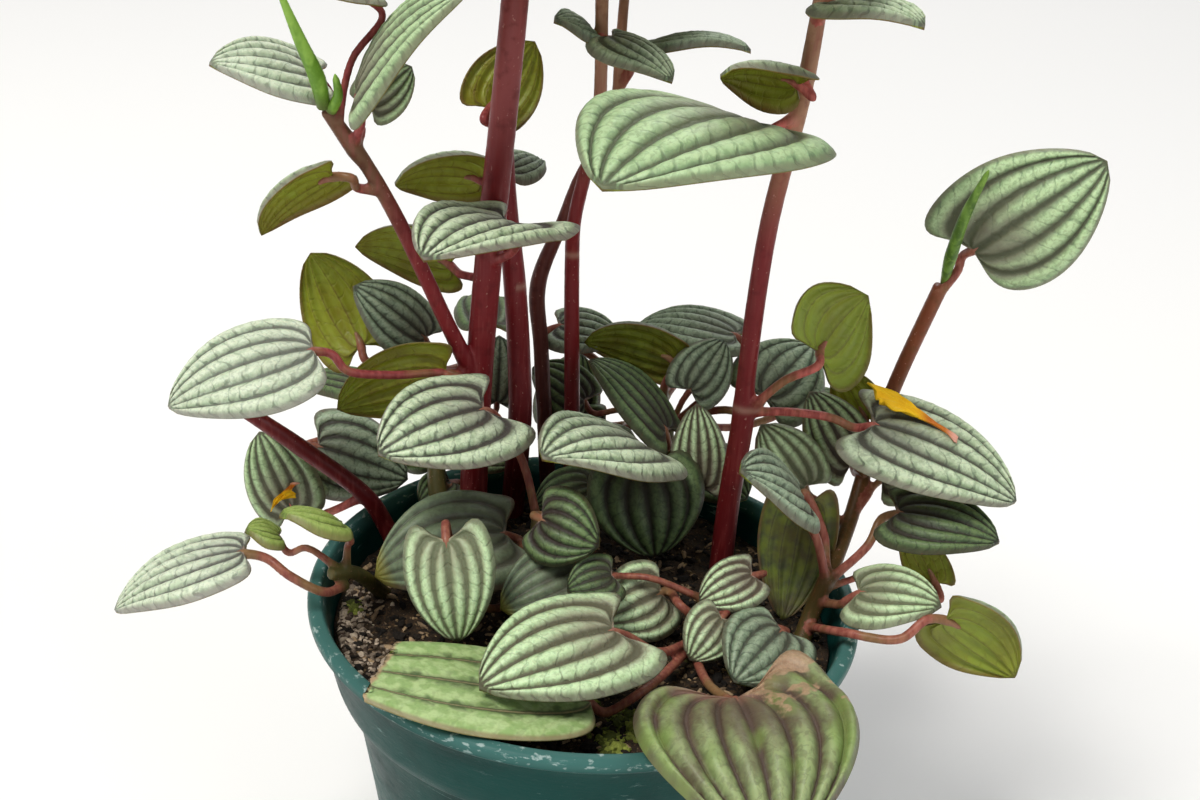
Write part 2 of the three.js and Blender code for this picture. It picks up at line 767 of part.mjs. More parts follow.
        name: "leaf_k5", joint: [765, 395, 34], tip: [812, 345, 44], width: 20,
        way: [[668, 420, 40], [720, 410, 36]], face: [0, -0.6, 0.7],
      },
    ],
    small: [
      {
        name: "leaf_k6", joint: [585, 400, 50], tip: [533, 366, 53], width: 14,
        way: [[665, 415, 40.5], [620, 410, 47]], face: [0, -0.5, 0.8],
      },
      {
        name: "leaf_k7", joint: vec(20, 64, 116), tip: vec(30, 90, 110), width: 15,
        way: [[663, 400, 41], vec(18, 54, 112)], face: [0, 0.3, 1],
      },
      {
        name: "leaf_k8", joint: vec(44, 56, 106), tip: vec(66, 72, 98), width: 15,
        way: [[667, 424, 40], vec(32, 50, 102)], face: [0.3, 0.2, 1],
      },
      {
        name: "leaf_k2", joint: [674, 358, 41], tip: [586, 338, 45], width: 16,
        way: [[662, 398, 41], [668, 378, 40]], face: [0, 1, 0.4],
      },
      {
        name: "leaf_k1", joint: [560, 325, 52], tip: [622, 341, 50], width: 15,
        way: [[664, 400, 41], [610, 370, 50], [575, 345, 54]], face: [0, -0.3, 1],
      },
      {
        name: "leaf_k4", joint: [690, 390, 34], tip: [725, 340, 38], width: 13,
        way: [[667, 430, 40], [678, 410, 37]], face: [0, -0.8, 0.5],
      },
      {
        name: "leaf_k14", joint: [630, 455, 44], tip: [590, 490, 38], width: 15,
        way: [[669, 452, 39], [650, 455, 43]], face: [0, -0.6, 0.8],
      },
      {
        name: "leaf_k15", joint: [604, 428, 50], tip: [556, 448, 49], width: 15,
        way: [[668, 434, 39.3], [632, 426, 47]], face: [0, -0.6, 0.8],
      },
      {
        name: "leaf_k16", joint: [706, 462, 41], tip: [748, 498, 35], width: 15,
        way: [[670, 460, 39], [690, 460, 41]], face: [0, -0.6, 0.8],
      },
      {
        name: "leaf_k17", joint: [562, 420, 57], tip: [580, 352, 62], width: 15,
        way: [[666, 420, 40.3], [612, 426, 54]], face: [0, -0.8, 0.5],
      },
    ],
  },
];

// The green flower spikes: each its shoot, and its parts as places with the radius there.
const SPIKES = [
  {
    name: "spike_left",
    shoot: "stem_tall_left",
    parts: [
      [
        [[324, 106, 13.6], 1.3], [[317, 78, 11], 1.5], [[300, 40, 7], 1.1], [[283, 0, 4], 0.6],
        [[272, -28, 3], 0.45],
      ],
      [[[331, 110, 13.6], 1.1], [[338, 96, 12], 0.9], [[335, 74, 10], 0.5]],
    ],
  },
  {
    name: "spike_right",
    shoot: "shoot_right",
    parts: [
      [[[945, 280, 19.6], 1.2], [[951, 256, 15], 1.3], [[966, 214, 11], 1.0], [[989, 170, 8], 0.45]],
    ],
  },
];

// The fallen florets: each the leaf that it lies on, and its ends as shares across and along it.
const FLORETS = [
  { name: "floret_right", leaf: "leaf_d4", ends: [[0.66, 0.06], [0.16, 0.5]], width: 0.42 },
  { name: "floret_left", leaf: "leaf_f6", ends: [[0.1, 0.14], [-0.5, 0.32]], width: 0.36 },
];

// ---------------------------------------------------------------- building

const finish = (color, roughness) => new THREE.MeshStandardMaterial({ color, roughness, metalness: 0 });
const leafGreen = finish(0x8fae84, 0.6);
const potGreen = finish(0x24564f, 0.4);
const spikeGreen = finish(0x5f9b3c, 0.5);
const yellow = finish(0xe9b526, 0.6);
const soilBrown = finish(0x33261e, 1);

function lathe(profile) {
  const points = profile.map(([r, z]) => new THREE.Vector2(r, z));
  return manifold(new THREE.LatheGeometry(points, POT_SIDES).rotateX(Math.PI / 2));
}

function pot() {
  let solid = lathe([
    [0, 0],
    [FOOT_RADIUS, 0],
    [BODY_RADIUS, COLLAR_FOOT - SHOULDER],
    [COLLAR_FOOT_RADIUS, COLLAR_FOOT],
    [COLLAR_RADIUS, RIM_HEIGHT - LIP_HEIGHT - LIP_ROUND],
    [RIM_RADIUS, RIM_HEIGHT - LIP_HEIGHT],
    [RIM_RADIUS, RIM_HEIGHT - LIP_ROUND],
    [RIM_RADIUS - LIP_ROUND, RIM_HEIGHT],
    [RIM_RADIUS - RIM_WIDTH, RIM_HEIGHT],
    [COLLAR_FOOT_RADIUS - WALL, COLLAR_FOOT + SHOULDER],
    [BODY_RADIUS - WALL, COLLAR_FOOT],
    [FOOT_RADIUS - WALL, FLOOR],
    [0, FLOOR],
    [0, 0],
  ]);
  for (let i = 0; i < DRAIN_HOLES; i++) {
    const turn = (2 * Math.PI * (i + 0.5)) / DRAIN_HOLES;
    const drill = new THREE.CylinderGeometry(DRAIN_RADIUS, DRAIN_RADIUS, 3 * FLOOR, 8);
    drill.rotateX(Math.PI / 2).translate(FOOT_RADIUS * DRAIN_PLACE, 0, FLOOR).rotateZ(turn);
    solid = solid.subtract(manifold(drill));
  }
  return solid;
}

// How far the soil's top stands up, at a turn round the pot and a share of the way out.
function lump(turn, share) {
  const broad = Math.sin(3 * turn + 5 * share) * Math.cos(5 * turn - 9 * share);
  const fine = 0.6 * Math.sin(9 * turn + 4 * share);
  return SOIL_LUMPS * (broad + fine) * (share < 1 ? 1 : 0.3);
}

// The soil fills the pot inside its wall, and its top is lumpy.
function soil() {
  const inside = WALL + CLEARANCE;
  const rings = [
    [SOIL_TOP_RADIUS * 0.55, SOIL_HEIGHT, 0.55],
    [SOIL_TOP_RADIUS, SOIL_HEIGHT, 1],
    [COLLAR_FOOT_RADIUS - inside, COLLAR_FOOT + SHOULDER + CLEARANCE],
    [BODY_RADIUS - inside, COLLAR_FOOT + CLEARANCE],
    [FOOT_RADIUS - inside, FLOOR + CLEARANCE],
  ];
  const points = [vec(0, 0, SOIL_HEIGHT)];
  for (const [radius, height, share] of rings) {
    for (let k = 0; k < POT_SIDES; k++) {
      const turn = (2 * Math.PI * k) / POT_SIDES;
      const raised = share ? lump(turn, share) : 0;
      points.push(vec(Math.cos(turn) * radius, Math.sin(turn) * radius, height + raised));
    }
  }
  points.push(vec(0, 0, FLOOR + CLEARANCE));
  const faces = [];
  const bottom = points.length - 1;
  for (let k = 0; k < POT_SIDES; k++) {
    const next = (k + 1) % POT_SIDES;
    faces.push(0, 1 + k, 1 + next);
    for (let ring = 0; ring < rings.length - 1; ring++) {
      const a = 1 + ring * POT_SIDES;
      const b = a + POT_SIDES;
      faces.push(a + k, b + k, b + next, a + k, b + next, a + next);
    }
    const last = bottom - POT_SIDES;
    faces.push(last + next, last + k, bottom);
  }
  return manifold(geometryOf(points, faces));
}

// A stem whose first place is a pixel of the soil's level stands in the soil. Others branch off.
const startsInSoil = (stem) => stem[0][0].length === 2;

// Where a stem is at a depth below the soil's top, on the line of its first stretch.
function rootOf(stem, depth) {
  const [foot, next] = [place(stem[0][0]), place(stem[1][0])];
  const rise = next.sub(foot).normalize();
  return foot.addScaledVector(rise, -depth / rise.z);
}

function stemSolid(stem, extra = 0) {
  const points = stem.map(([spot]) => place(spot));
  const radii = stem.map(([, radius]) => radius + extra);
  if (startsInSoil(stem)) {
    points.unshift(rootOf(stem, ROOT_DEPTH));
    radii.unshift(radii[0]);
  }
  return stalk(points, radii, STEM_SIDES, points.length);
}

// The plain hole that a stem stands in.
function hole(stem) {
  const radius = stem[0][1] + 1.5 * CLEARANCE;
  const ends = [rootOf(stem, ROOT_DEPTH + CLEARANCE), rootOf(stem, -4 * SOIL_LUMPS)];
  return stalk(ends, [radius, radius], STEM_SIDES, 1);
}

// A leaf's stalk comes up from under the lobes to the joint.
function stalkSolid(leaf, extra = 0) {
  const radius = leaf.width < SMALL_WIDTH ? THIN_STALK : STALK_RADIUS;
  const droop = leaf.arch * 4 * STALK_BEND * (1 + STALK_BEND / leaf.length);
  const below = vec(-STALK_BEND, 0, -droop - BLADE - 1.7 * CLEARANCE - radius);
  const seat = vec(SEATED, 0, -CLEARANCE);
  const ends = [below, seat].map((point) => point.applyMatrix4(bladeFrame(leaf)));
  const points = [...leaf.way.map(place), ...ends];
  const radii = points.map(() => radius + extra);
  return stalk(points, radii, STALK_SIDES, Math.max(2, points.length - 1));
}

// The shoot's body kept out of a large leaf: first under its joint, then wherever they still meet.
function clearOf(body, leaf) {
  const depth = BLADE + CLEARANCE;
  const under = new THREE.BoxGeometry(2 * STALK_BEND, 5, depth + STALK_BEND);
  under.translate(0.5, 0, (STALK_BEND - depth) / 2).applyMatrix4(bladeFrame(leaf));
  const cut = body.subtract(manifold(under));
  if (cut.intersect(blade(leaf, 0, BLADE)).volume() < MEETING) return cut;
  const room = { ...leaf, width: leaf.width + 2 * CLEARANCE };
  return cut.subtract(blade(room, CLEARANCE, depth)).subtract(blade(leaf, 0, BLADE));
}

// A flower spike kept clear of the stems and stalks that it stands among.
function spikeSolid({ shoot, parts }) {
  const { stems, large, small } = SHOOTS.find(({ name }) => name === shoot);
  const near = [
    ...stems.map((stem) => stemSolid(stem, CLEARANCE)),
    ...[...large, ...small].map((leaf) => stalkSolid(leafOf(leaf), CLEARANCE)),
  ];
  const spike = wasm.Manifold.union(parts.map((part) => stemSolid(part)));
  return largest(spike.subtract(wasm.Manifold.union(near)));
}

// A thin petal that lies along a leaf, broad near its first end and narrow at its last.
function floretSolid({ leaf, ends, width }) {
  const under = leafOf(SHOOTS.flatMap(({ large }) => large).find(({ name }) => name === leaf));
  const top = FLORET_LIFT + FLORET;
  const corners = [[-1, FLORET_LIFT], [1, FLORET_LIFT], [1, top], [-1, top]];
  const points = [];
  const faces = [];
  for (let i = 0; i <= FLORET_STEPS; i++) {
    const share = i / FLORET_STEPS;
    const [across, along] = [0, 1].map((k) => THREE.MathUtils.lerp(ends[0][k], ends[1][k], share));
    const broad = 0.25 + 0.75 * Math.sin(Math.PI * (0.2 + 0.75 * share)) ** 2;
    for (const [side, lift] of corners) {
      const edge = across + (side * width * broad) / 2;
      points.push(bladePoint(under, edge, along).add(vec(0, 0, lift)));
    }
  }
  for (let a = 0; a < 4 * FLORET_STEPS; a++) {
    const b = a % 4 === 3 ? a - 3 : a + 1;
    faces.push(a, b + 4, a + 4, a, b, b + 4);
  }
  const last = 4 * FLORET_STEPS;
  faces.push(0, 2, 1, 0, 3, 2, last, last + 1, last + 2, last, last + 2, last + 3);
  return manifold(geometryOf(points, faces)).transform(bladeFrame(under).elements);
}

const plant = new THREE.Group();
plant.name = "potted_peperomia";
plant.add(meshOf("pot", pot(), potGreen));

let ground = soil();
for (const shoot of SHOOTS) {
  const large = shoot.large.map(leafOf);
  const small = shoot.small.map(leafOf);
  const grown = [
    ...shoot.stems.map((stem) => stemSolid(stem)),
    ...[...large, ...small].map((leaf) => stalkSolid(leaf)),
    ...small.map((leaf) => blade(leaf, 0, BLADE)),
  ];
  const cleared = large.reduce(clearOf, wasm.Manifold.union(grown));
  const body = largest(cleared.simplify(FINENESS));
  plant.add(meshOf(shoot.name, body, finish(shoot.colour, 0.45)));
  for (const leaf of large) {
    plant.add(meshOf(leaf.name, blade(leaf, 0, BLADE), leafGreen));
  }
  for (const stem of shoot.stems.filter(startsInSoil)) {
    ground = ground.subtract(hole(stem));
  }
}
for (const spike of SPIKES) {
  plant.add(meshOf(spike.name, spikeSolid(spike), spikeGreen));
}
for (const floret of FLORETS) {
  plant.add(meshOf(floret.name, floretSolid(floret), yellow));
}
plant.add(meshOf("soil", largest(ground.simplify(FINENESS)), soilBrown));

export default plant;
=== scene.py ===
"""A potted peperomia, dressed: quilted leaves on red stalks, in a scuffed pot of crumbly soil.

Shapes are worked out in millimetres and become metres where a mesh is made. +Z is up, the origin is
the middle of the pot's flat underside, and -Y is the front. The leaves, stems and spikes stand where
the frame's own nodes stand, from the same places and the same formula, with finer faces.
"""

import math
import random

import bmesh
import bpy
import numpy as np
from mathutils import Matrix, Vector, kdtree, noise


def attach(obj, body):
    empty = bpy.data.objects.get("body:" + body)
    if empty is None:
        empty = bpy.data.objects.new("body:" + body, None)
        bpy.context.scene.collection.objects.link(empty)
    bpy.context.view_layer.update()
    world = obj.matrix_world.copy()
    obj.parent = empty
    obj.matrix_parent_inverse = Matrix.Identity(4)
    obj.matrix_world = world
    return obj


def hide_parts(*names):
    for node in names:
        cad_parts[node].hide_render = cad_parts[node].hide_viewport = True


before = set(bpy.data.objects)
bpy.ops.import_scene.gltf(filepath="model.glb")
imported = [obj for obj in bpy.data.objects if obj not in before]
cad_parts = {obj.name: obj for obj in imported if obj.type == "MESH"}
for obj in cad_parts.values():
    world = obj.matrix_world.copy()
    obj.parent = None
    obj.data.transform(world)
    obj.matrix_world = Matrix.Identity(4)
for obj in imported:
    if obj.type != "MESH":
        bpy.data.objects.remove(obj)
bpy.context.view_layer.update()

# ------------------------------------------------------------------ driving dimensions

# Lengths are in millimetres. The rest are counts, shares and plain factors.
MM = 0.001
RIM_HEIGHT = 90.0
RIM_RADIUS = 54.0
RIM_WIDTH = 3.0
LIP_HEIGHT = 2.6
LIP_ROUND = 0.8
COLLAR_FOOT = RIM_HEIGHT - 18.0
COLLAR_RADIUS = 51.8
COLLAR_FOOT_RADIUS = 48.8
SHOULDER = 1.2
BODY_RADIUS = 45.6
FOOT_RADIUS = 34.0
WALL = 1.3
FLOOR = 2.0
DRAIN_HOLES = 4
DRAIN_RADIUS = 4.0
DRAIN_PLACE = 0.74
POT_SIDES = 192

SOIL_HEIGHT = RIM_HEIGHT - 8.0
SOIL_RADIUS = 49.0
SOIL_GAP = 0.3
SOIL_RINGS = 60
SOIL_SIDES = 160
GRAIN_REACH = SOIL_RADIUS - 1.5
SOIL_DROP = 0.3
CLOD = 17
CLOD_HEIGHT = 0.8
LUMP = 4.5
CRUMB = 1.9
LUMP_HEIGHT = 0.75
ROOT_DEPTH = 9.0

STALK_RADIUS = 1.0
THIN_STALK = 0.8
SMALL_WIDTH = 15
STALK_BEND = 3.0
STALK_INSIDE = 3.0
STALK_SIDES = 12
STALK_STEPS = 10
STEM_SIDES = 16
STEM_STEPS = 14
RING_REACH = 1.6
RING_SWELL = 0.14
VOXEL = 0.4

SPIKE_SIDES = 20
SPIKE_STEPS = 28
BEAD_ROWS = 5
BEAD_TURN = 2.6
BEAD_HEIGHT = 0.025
PETAL_ROWS = 40
PETAL_COLUMNS = 18
PETAL = 0.35
PETAL_LIFT = 1.15

BLADE = 0.85
EDGE_BULGE = 0.18
EDGE_DROP = 0.5
EDGE_CRISPNESS = 14
RIB = 0.32
RIB_WIDTH = 0.5
BROAD_WIDTH = 25
OUTLINE_SKEW = 0.78
OUTLINE_FULLNESS = 0.62
LOBE_PLACE = 0.14
LOBE_LEVEL = 12
CURL_START = 0.6
WAVES = 2.2
WAVE_STARTS = (0.6, 2.4)
SWELL = 2.0
TORN_SWELL = 0.5
RUNG = 3.3
RUNG_SLANT = 0.7
RUNG_DEPTH = 0.13
COLUMN = 0.55
ROW = 0.9
TEAR_SLANT = math.radians(-14)

# ------------------------------------------------------------------ where things are seen

# The eye that the plant is seen from, and the middle of its 1200 x 800 frame, so that a place can be
# given as the pixel that it is seen at and how far back it stands.
EYE = np.array([0.4, -250.9, RIM_HEIGHT + 162.3])
EYE_DOWN = math.radians(25.9)
EYE_ROLL = math.radians(3.98)
EYE_FOCUS = 1500.0
FRAME_WIDTH = 1200.0
FRAME_MIDDLE = (600.0, 400.0)

AHEAD = np.array([0.0, math.cos(EYE_DOWN), -math.sin(EYE_DOWN)])
LEVEL_UP = np.cross([1.0, 0.0, 0.0], AHEAD)
RIGHT = math.cos(EYE_ROLL) * np.array([1.0, 0.0, 0.0]) + math.sin(EYE_ROLL) * LEVEL_UP
UP = np.cross(RIGHT, AHEAD)


def unit(vector):
    return vector / np.linalg.norm(vector)


def sight(px, py):
    """The direction from the eye through a pixel."""
    return AHEAD + RIGHT * (px - FRAME_MIDDLE[0]) / EYE_FOCUS + UP * (FRAME_MIDDLE[1] - py) / EYE_FOCUS


def at(x, y, z):
    """A place given as it is."""
    return np.array([x, y, z], float)


def place(spot):
    """A place: as it is, a pixel with how far back it stands, or a pixel of the soil's level."""
    if isinstance(spot, np.ndarray):
        return spot
    ray = sight(spot[0], spot[1])
    if len(spot) == 2:
        return EYE + ray * (SOIL_HEIGHT - EYE[2]) / ray[2]
    return EYE + ray * (spot[2] - EYE[1]) / ray[1]


# ------------------------------------------------------------------ the plant

# The leaves that don't look as most do. The shade, dark and dull looks are painted shade: darker,
# greyer copies of the leaf colours for the leaves that stand in the plant's shadow.
LOOKS = {
    "grand": "e1 d1",
    "fresh": "h12 h13 f6 k13 a2 a3 top_b2 top_c2 h9 d3",
    "shade": "k1 k2 k3 k4 k5 h5 f4 f7 b5 c2 c3 k11 h1",
    "bract": "f9 f10",
    "lively": "g7 g10 g11 h3 h4 h8 g4 h15",
    "dark": "g5 g8 g12 k6 k7 k8 k9 k10 k12 k14 k15 k16 k17 k18 k19 g3 h7",
    "dull": "g6 g9 h2",
    "pale": "f1 f8 a1",
    "old": "g13",
    "worn": "h6",
}
LOOK_OF = {key: look for look, keys in LOOKS.items() for key in keys.split()}

# Where a leaf's veins lie, as shares from the midrib out to the edge: most leaves', and some looks'.
VEINS = (0.0, 0.36, 0.7, 1.0)
VEINS_OF = {"worn": (0.0, 0.29, 0.57, 0.83, 1.0), "old": (0.0, 0.52, 1.0)}

# A leaf's shape where nothing else is said of it.
LEAF_SHAPE = dict(lobe=0.24, lean=0, arch=0.08, cup=0.1, quilt=0.6, wave=0.3, curl=0.2, torn=None)


class Leaf:
    """A leaf from its joint to its tip. `face` is where its upper side looks, and `way` leads its
    stalk from the stem to the joint."""

    def __init__(self, key, width, joint, tip, face, *way, **shape):
        vars(self).update(LEAF_SHAPE | shape)
        self.name = f"leaf_{key}"
        self.seed = sum(ord(letter) * (k + 1) for k, letter in enumerate(self.name)) % 97
        self.look = LOOK_OF.get(key, "silver")
        self.veins = VEINS_OF.get(self.look, VEINS)
        self.width = width
        self.joint = place(joint)
        self.way = [place(spot) for spot in way]
        run = place(tip) - self.joint
        self.length = np.linalg.norm(run)
        axis = unit(run)
        face = np.array(face, float)
        up = unit(face - axis * axis.dot(face))
        self.axes = np.array([axis, np.cross(up, axis), up])

    def placed(self, points):
        """Points given along the leaf, across it and up from its joint, where they really are."""
        return points @ self.axes + self.joint


# Each shoot has the tone of its stems, the stems, and its leaves. A stem's places each end with the
# radius there. One without a depth is a foot, at the soil's level.
SHOOTS = {
    "stem_tall_left": ("wine", [
        [(472, 536, 3), (478, 390, 30, 2.9), (489, 255, 29, 2.8), (503, 120, 28, 2.7), (515, 0, 27, 2.6),
         (523, -95, 27, 1.9)],
        [(478, 385, 29, 2), (448, 325, 25, 1.6), (400, 224, 20, 1.5), (367, 166, 17, 1.4),
         (355, 150, 16, 1.7), (326, 109, 14, 1.3)],
    ], [
        Leaf("a1", 19, (316, 74, 22), (210, 59, 15), (-0.1, -0.35, 1), (346, 138, 15.8), (331, 106, 22)),
        Leaf("a2", 20, (356, 94, 12), (466, -18, 4), (-0.5, -0.4, 0.9), (354, 146, 16), (361, 122, 12.5),
             lobe=0.14),
        Leaf("b3", 25.5, (509, 222, 14), (424, 254, -6), (0, -0.02, 1), (492, 262, 28), (512, 252, 22),
             lobe=0.48, cup=-0.04),
        Leaf("f1", 25, (313, 349, 12), (166, 403, 3), (-0.1, -0.42, 1), (472, 372, 28), (429, 373, 22),
             (388, 375, 18), (346, 370, 14), lobe=0.08),
        Leaf("f5", 19, (446, 373, 25), (338, 405, 26), (0, 1, 0.2), (474, 384, 29), (460, 376, 27)),
        Leaf("top_b1", 25, (492, -105, 20), (400, -80, 4), (0, -0.1, 1), (522, -80, 27), (508, -96, 24)),
        Leaf("top_b2", 23, (566, -118, 28), (652, -124, 18), (0, -0.1, 1), (522, -84, 27), (540, -106, 28)),
        Leaf("top_b3", 24, (523, -108, 36), (535, -118, 64), (0, 0.2, 1), (522, -90, 28), (523, -104, 32)),
        Leaf("a4", 15, (330, 174, 14), (258, 230, 12), (0, 0.5, 0.8), (380, 190, 18), (358, 188, 17)),
        Leaf("a3", 10, (370, 103, 18), (412, 66, 22), (0.4, -0.6, 0.6), (356, 148, 16), (362, 130, 17)),
        Leaf("a5", 13, (368, -4, 18), (306, -8, 12), (0, 0.1, 1), (338, 124, 14), (352, 60, 17)),
        Leaf("b4", 15, (450, 262, 38), (357, 243, 40), (0, 1, 0.3), (488, 280, 30), (468, 276, 35)),
    ]),
    "stem_second_left": ("wine", [
        [(512, 512, 2.6), (520, 415, 37, 2.6), (519, 359, 38, 2.5), (515, 287, 38, 2.4),
         (506, 190, 38, 2.1), (504, 80, 38, 1.5)],
    ], [
        Leaf("b2", 17, (478, 176, 40), (394, 180, 34), (0, 0.8, 0.6), (507, 200, 38), (492, 186, 40)),
        Leaf("b1", 15, (490, 108, 42), (534, 42, 48), (0.2, 1, 0.3), (505, 150, 38), (497, 128, 41)),
        Leaf("b5", 13, (506, 168, 46), (540, 158, 54), (0, -0.2, 1), (506, 192, 39), (506, 180, 43)),
    ]),
    "stem_middle": ("crimson", [
        [(571, 506, 1.9), (572, 412, 40, 1.75), (572, 270, 40, 1.6), (574, 222, 38, 1.5),
         (584, 178, 37, 1.4), (598, 120, 35, 1.3), (602, 0, 33, 1.3), (603, -40, 33, 1.1)],
    ], [
        Leaf("top_c1", 18, (594, -52, 26), (556, -24, 4), (0, 0, 1), (603, -30, 33), (597, -46, 30)),
        Leaf("top_c2", 20, (618, -58, 36), (690, -62, 44), (0, 0, 1), (603, -34, 33), (610, -50, 34)),
        Leaf("c1", 12, (612, 36, 30), (674, 78, 22), (0.1, -0.2, 1), (600, 60, 33.5), (605, 46, 32), cup=0.3),
        Leaf("c2", 11, (592, 30, 34), (556, 18, 30), (-0.1, -0.3, 1), (601, 50, 33.5), (597, 40, 34)),
    ]),
    "stem_middle_back": ("plum", [
        [(549, 508, 1.9), (541, 347, 46, 1.7), (538, 285, 46, 1.8), (563, 221, 45, 1.4),
         (579, 180, 44, 1.3), (600, 142, 43, 1.2), (614, 112, 42, 1.1), (620, 50, 41, 1.1),
         (626, -20, 40, 1)],
    ], [
        Leaf("c3", 16, (650, 44, 40), (751, 46, 36), (0, 0.1, 1), (617, 90, 42), (630, 72, 40)),
        Leaf("top_c3", 20, (640, -30, 46), (700, -40, 62), (0, 0, 1), (625, -10, 40), (632, -24, 43)),
    ]),
    "stem_tall_right": ("crimson", [
        [(718, 590, 2.5), (729, 500, 15, 2.3), (743, 418, 15, 2.3), (746, 380, 15, 1.9),
         (768, 230, 13, 1.8), (804, 89, 10, 1.6), (821, 0, 8, 1.4), (830, -50, 6, 1.1)],
    ], [
        Leaf("d1", 44, (750, 121, 8), (603, 179, -24), (0, -0.06, 1), (801, 112, 10.5), (782, 124, 9),
             lobe=0.1, cup=0.02),
        Leaf("d3", 23, (817, 352, 17), (864, 295, 26), (-0.1, 1, 0.1), (750, 410, 14), (784, 381, 13.6),
             lobe=0.24),
        Leaf("d4", 25, (874, 424, 10), (1019, 498, 2), (0.15, -0.35, 1), (748, 412, 15), (790, 412, 13),
             (832, 418, 12)),
        Leaf("d5", 20, (838, 2, 6), (926, 22, -2), (0.1, 0, 1), (824, 6, 8), (830, 2, 7)),
        Leaf("top_d1", 24, (822, -66, 2), (735, -50, -14), (0, -0.1, 1), (831, -40, 6), (826, -58, 4)),
        Leaf("top_d2", 22, (842, -66, 12), (880, -76, 34), (0, 0.1, 1), (832, -44, 7), (838, -60, 9)),
        Leaf("d2", 14, (796, 80, 5), (720, 72, 2), (0, 0.7, 0.8), (812, 78, 9.5), (804, 78, 7), cup=0.4),
    ]),
    "stem_leaning_left": ("crimson", [
        [(402, 560, 2), (385, 524, 19, 1.9), (367, 497, 18, 1.8), (300, 447, 14, 1.8), (243, 409, 11, 1.5)],
    ], [
        Leaf("f6", 15.5, (292, 508, 20), (258, 432, 26), (-0.2, -0.8, 0.6), (364, 496, 18), (330, 512, 18)),
    ]),
    "shoot_left": ("olive", [
        [(382, 592, 1.6), (352, 572, -6, 1.4), (330, 574, -10, 1.2)],
    ], [
        Leaf("f8", 20, (243, 551, -16), (112, 606, -22), (0, 0, 1), (345, 585, -8), (324, 592, -15),
             (290, 576, -17), lobe=0.1),
        Leaf("f9", 12, (340, 522, -8), (280, 512, -12), (0, 0.3, 1), (346, 568, -7), (348, 545, -7),
             cup=0.35),
        Leaf("f10", 9, (279, 535, -6), (246, 528, -8), (0, 0, 1), (340, 570, -8), (307, 548, -7)),
    ]),
    "shoot_back_left": ("olive", [
        [(446, 546, 2.2), (437, 484, 31, 2.1), (436, 430, 37, 1.7), (420, 370, 38, 1.3)],
    ], [
        Leaf("f7", 20, (318, 446, 31), (408, 478, 29), (0, -0.7, 0.7), (436, 424, 37.3), (400, 436, 40),
             (342, 436, 37)),
        Leaf("f3", 19, (362, 344, 36), (312, 252, 40), (-0.1, 1, 0.1), (424, 380, 38), (390, 366, 38)),
        Leaf("k9", 15, at(-26, 62, 118), at(-30, 88, 113), (0, 0.3, 1), (422, 376, 38), at(-28, 52, 113)),
        Leaf("k10", 15, at(-50, 52, 104), at(-72, 66, 98), (-0.3, 0.2, 1), (438, 416, 38), at(-40, 46, 100)),
        Leaf("f4", 15, (425, 338, 36), (355, 285, 34), (0, -0.6, 0.8), (421, 372, 38), (426, 352, 37)),
        Leaf("k11", 14, (497, 402, 44), (500, 336, 48), (0.2, -0.9, 0.4), (436, 424, 37.3), (470, 428, 43)),
        Leaf("k18", 10, (450, 481, 34), (420, 502, 28), (0, -0.5, 0.8), (438, 490, 30.5), (450, 486, 33)),
        Leaf("k12", 14, (428, 440, 44), (390, 456, 44), (0, -0.5, 0.8), (436, 432, 36.8), (434, 438, 41)),
        Leaf("k13", 13, (476, 440, 45), (521, 460, 45), (0, -0.6, 0.8), (436.5, 458, 34), (458, 448, 41)),
    ]),
    "shoot_front_left": ("olive", [
        [(516, 592, 1.7), (532, 560, 7, 1.5), (538, 520, 11, 1.4)],
    ], [
        Leaf("g1", 24.5, (484, 409, 11), (379, 451, -4), (0.05, -0.4, 0.9), (538, 524, 11), (522, 460, 14),
             lobe=0.36),
        Leaf("g6", 25.5, (505, 533, 8), (374, 574, -1), (0, -0.4, 0.9), (531, 558, 7.5), (524, 548, 7.5),
             arch=0.16),
        Leaf("g7", 17, (446, 541, -12), (458, 643, -20), (0, -0.85, 0.5), (521, 583, 7.4), (498, 608, -3),
             (462, 592, -11), lobe=0.26),
        Leaf("g9", 17, (583, 567, -3), (500, 608, -10), (0, -0.5, 0.8), (520, 585, 7.4), (562, 590, 1)),
    ]),
    "shoot_centre": ("olive", [
        [(648, 545, 1.7), (644, 505, 28, 1.5), (642, 476, 27, 1.4)],
    ], [
        Leaf("g2", 26, (642, 444, 18), (545, 453, -3), (0.1, -0.1, 1), (643, 482, 27.2), (644, 464, 24),
             wave=0.8),
        Leaf("g5", 24, (643, 470, 20), (655, 558, 13), (0, -0.9, 0.4), (644, 500, 28), (640, 484, 25)),
        Leaf("g8", 15.5, (541, 519, -2), (598, 546, -8), (0, -0.85, 0.5), (645, 512, 28), (586, 512, 24),
             (550, 516, 6)),
        Leaf("g3", 15, (666, 429, 27), (592, 357, 33), (0.5, -0.3, 0.8), (643, 480, 27.2), (660, 450, 27)),
        Leaf("g4", 12, (700, 486, 22), (697, 404, 28), (0, -0.9, 0.4), (644, 503, 28), (672, 506, 26)),
        Leaf("k19", 13, (590, 486, 25), (534, 506, 21), (0, -0.5, 0.8), (644, 516, 23.5), (612, 498, 24)),
    ]),
    "shoot_front": ("olive", [
        [(690, 655, 1.7), (700, 620, -8, 1.5), (710, 590, -4, 1.3)],
    ], [
        Leaf("g10", 25, (614, 630, -26), (479, 684, -40), (0, -0.22, 1), (695, 640, -9.4), (657, 652, -20),
             lobe=0.3),
        Leaf("g11", 16, (661, 593, -4), (601, 621, -11), (0, -0.8, 0.6), (700, 622, -8), (680, 605, -8)),
        Leaf("h5", 18, (782, 630, -12), (735, 680, -25), (0, -0.5, 0.8), (702, 615, -7.5), (750, 622, -9)),
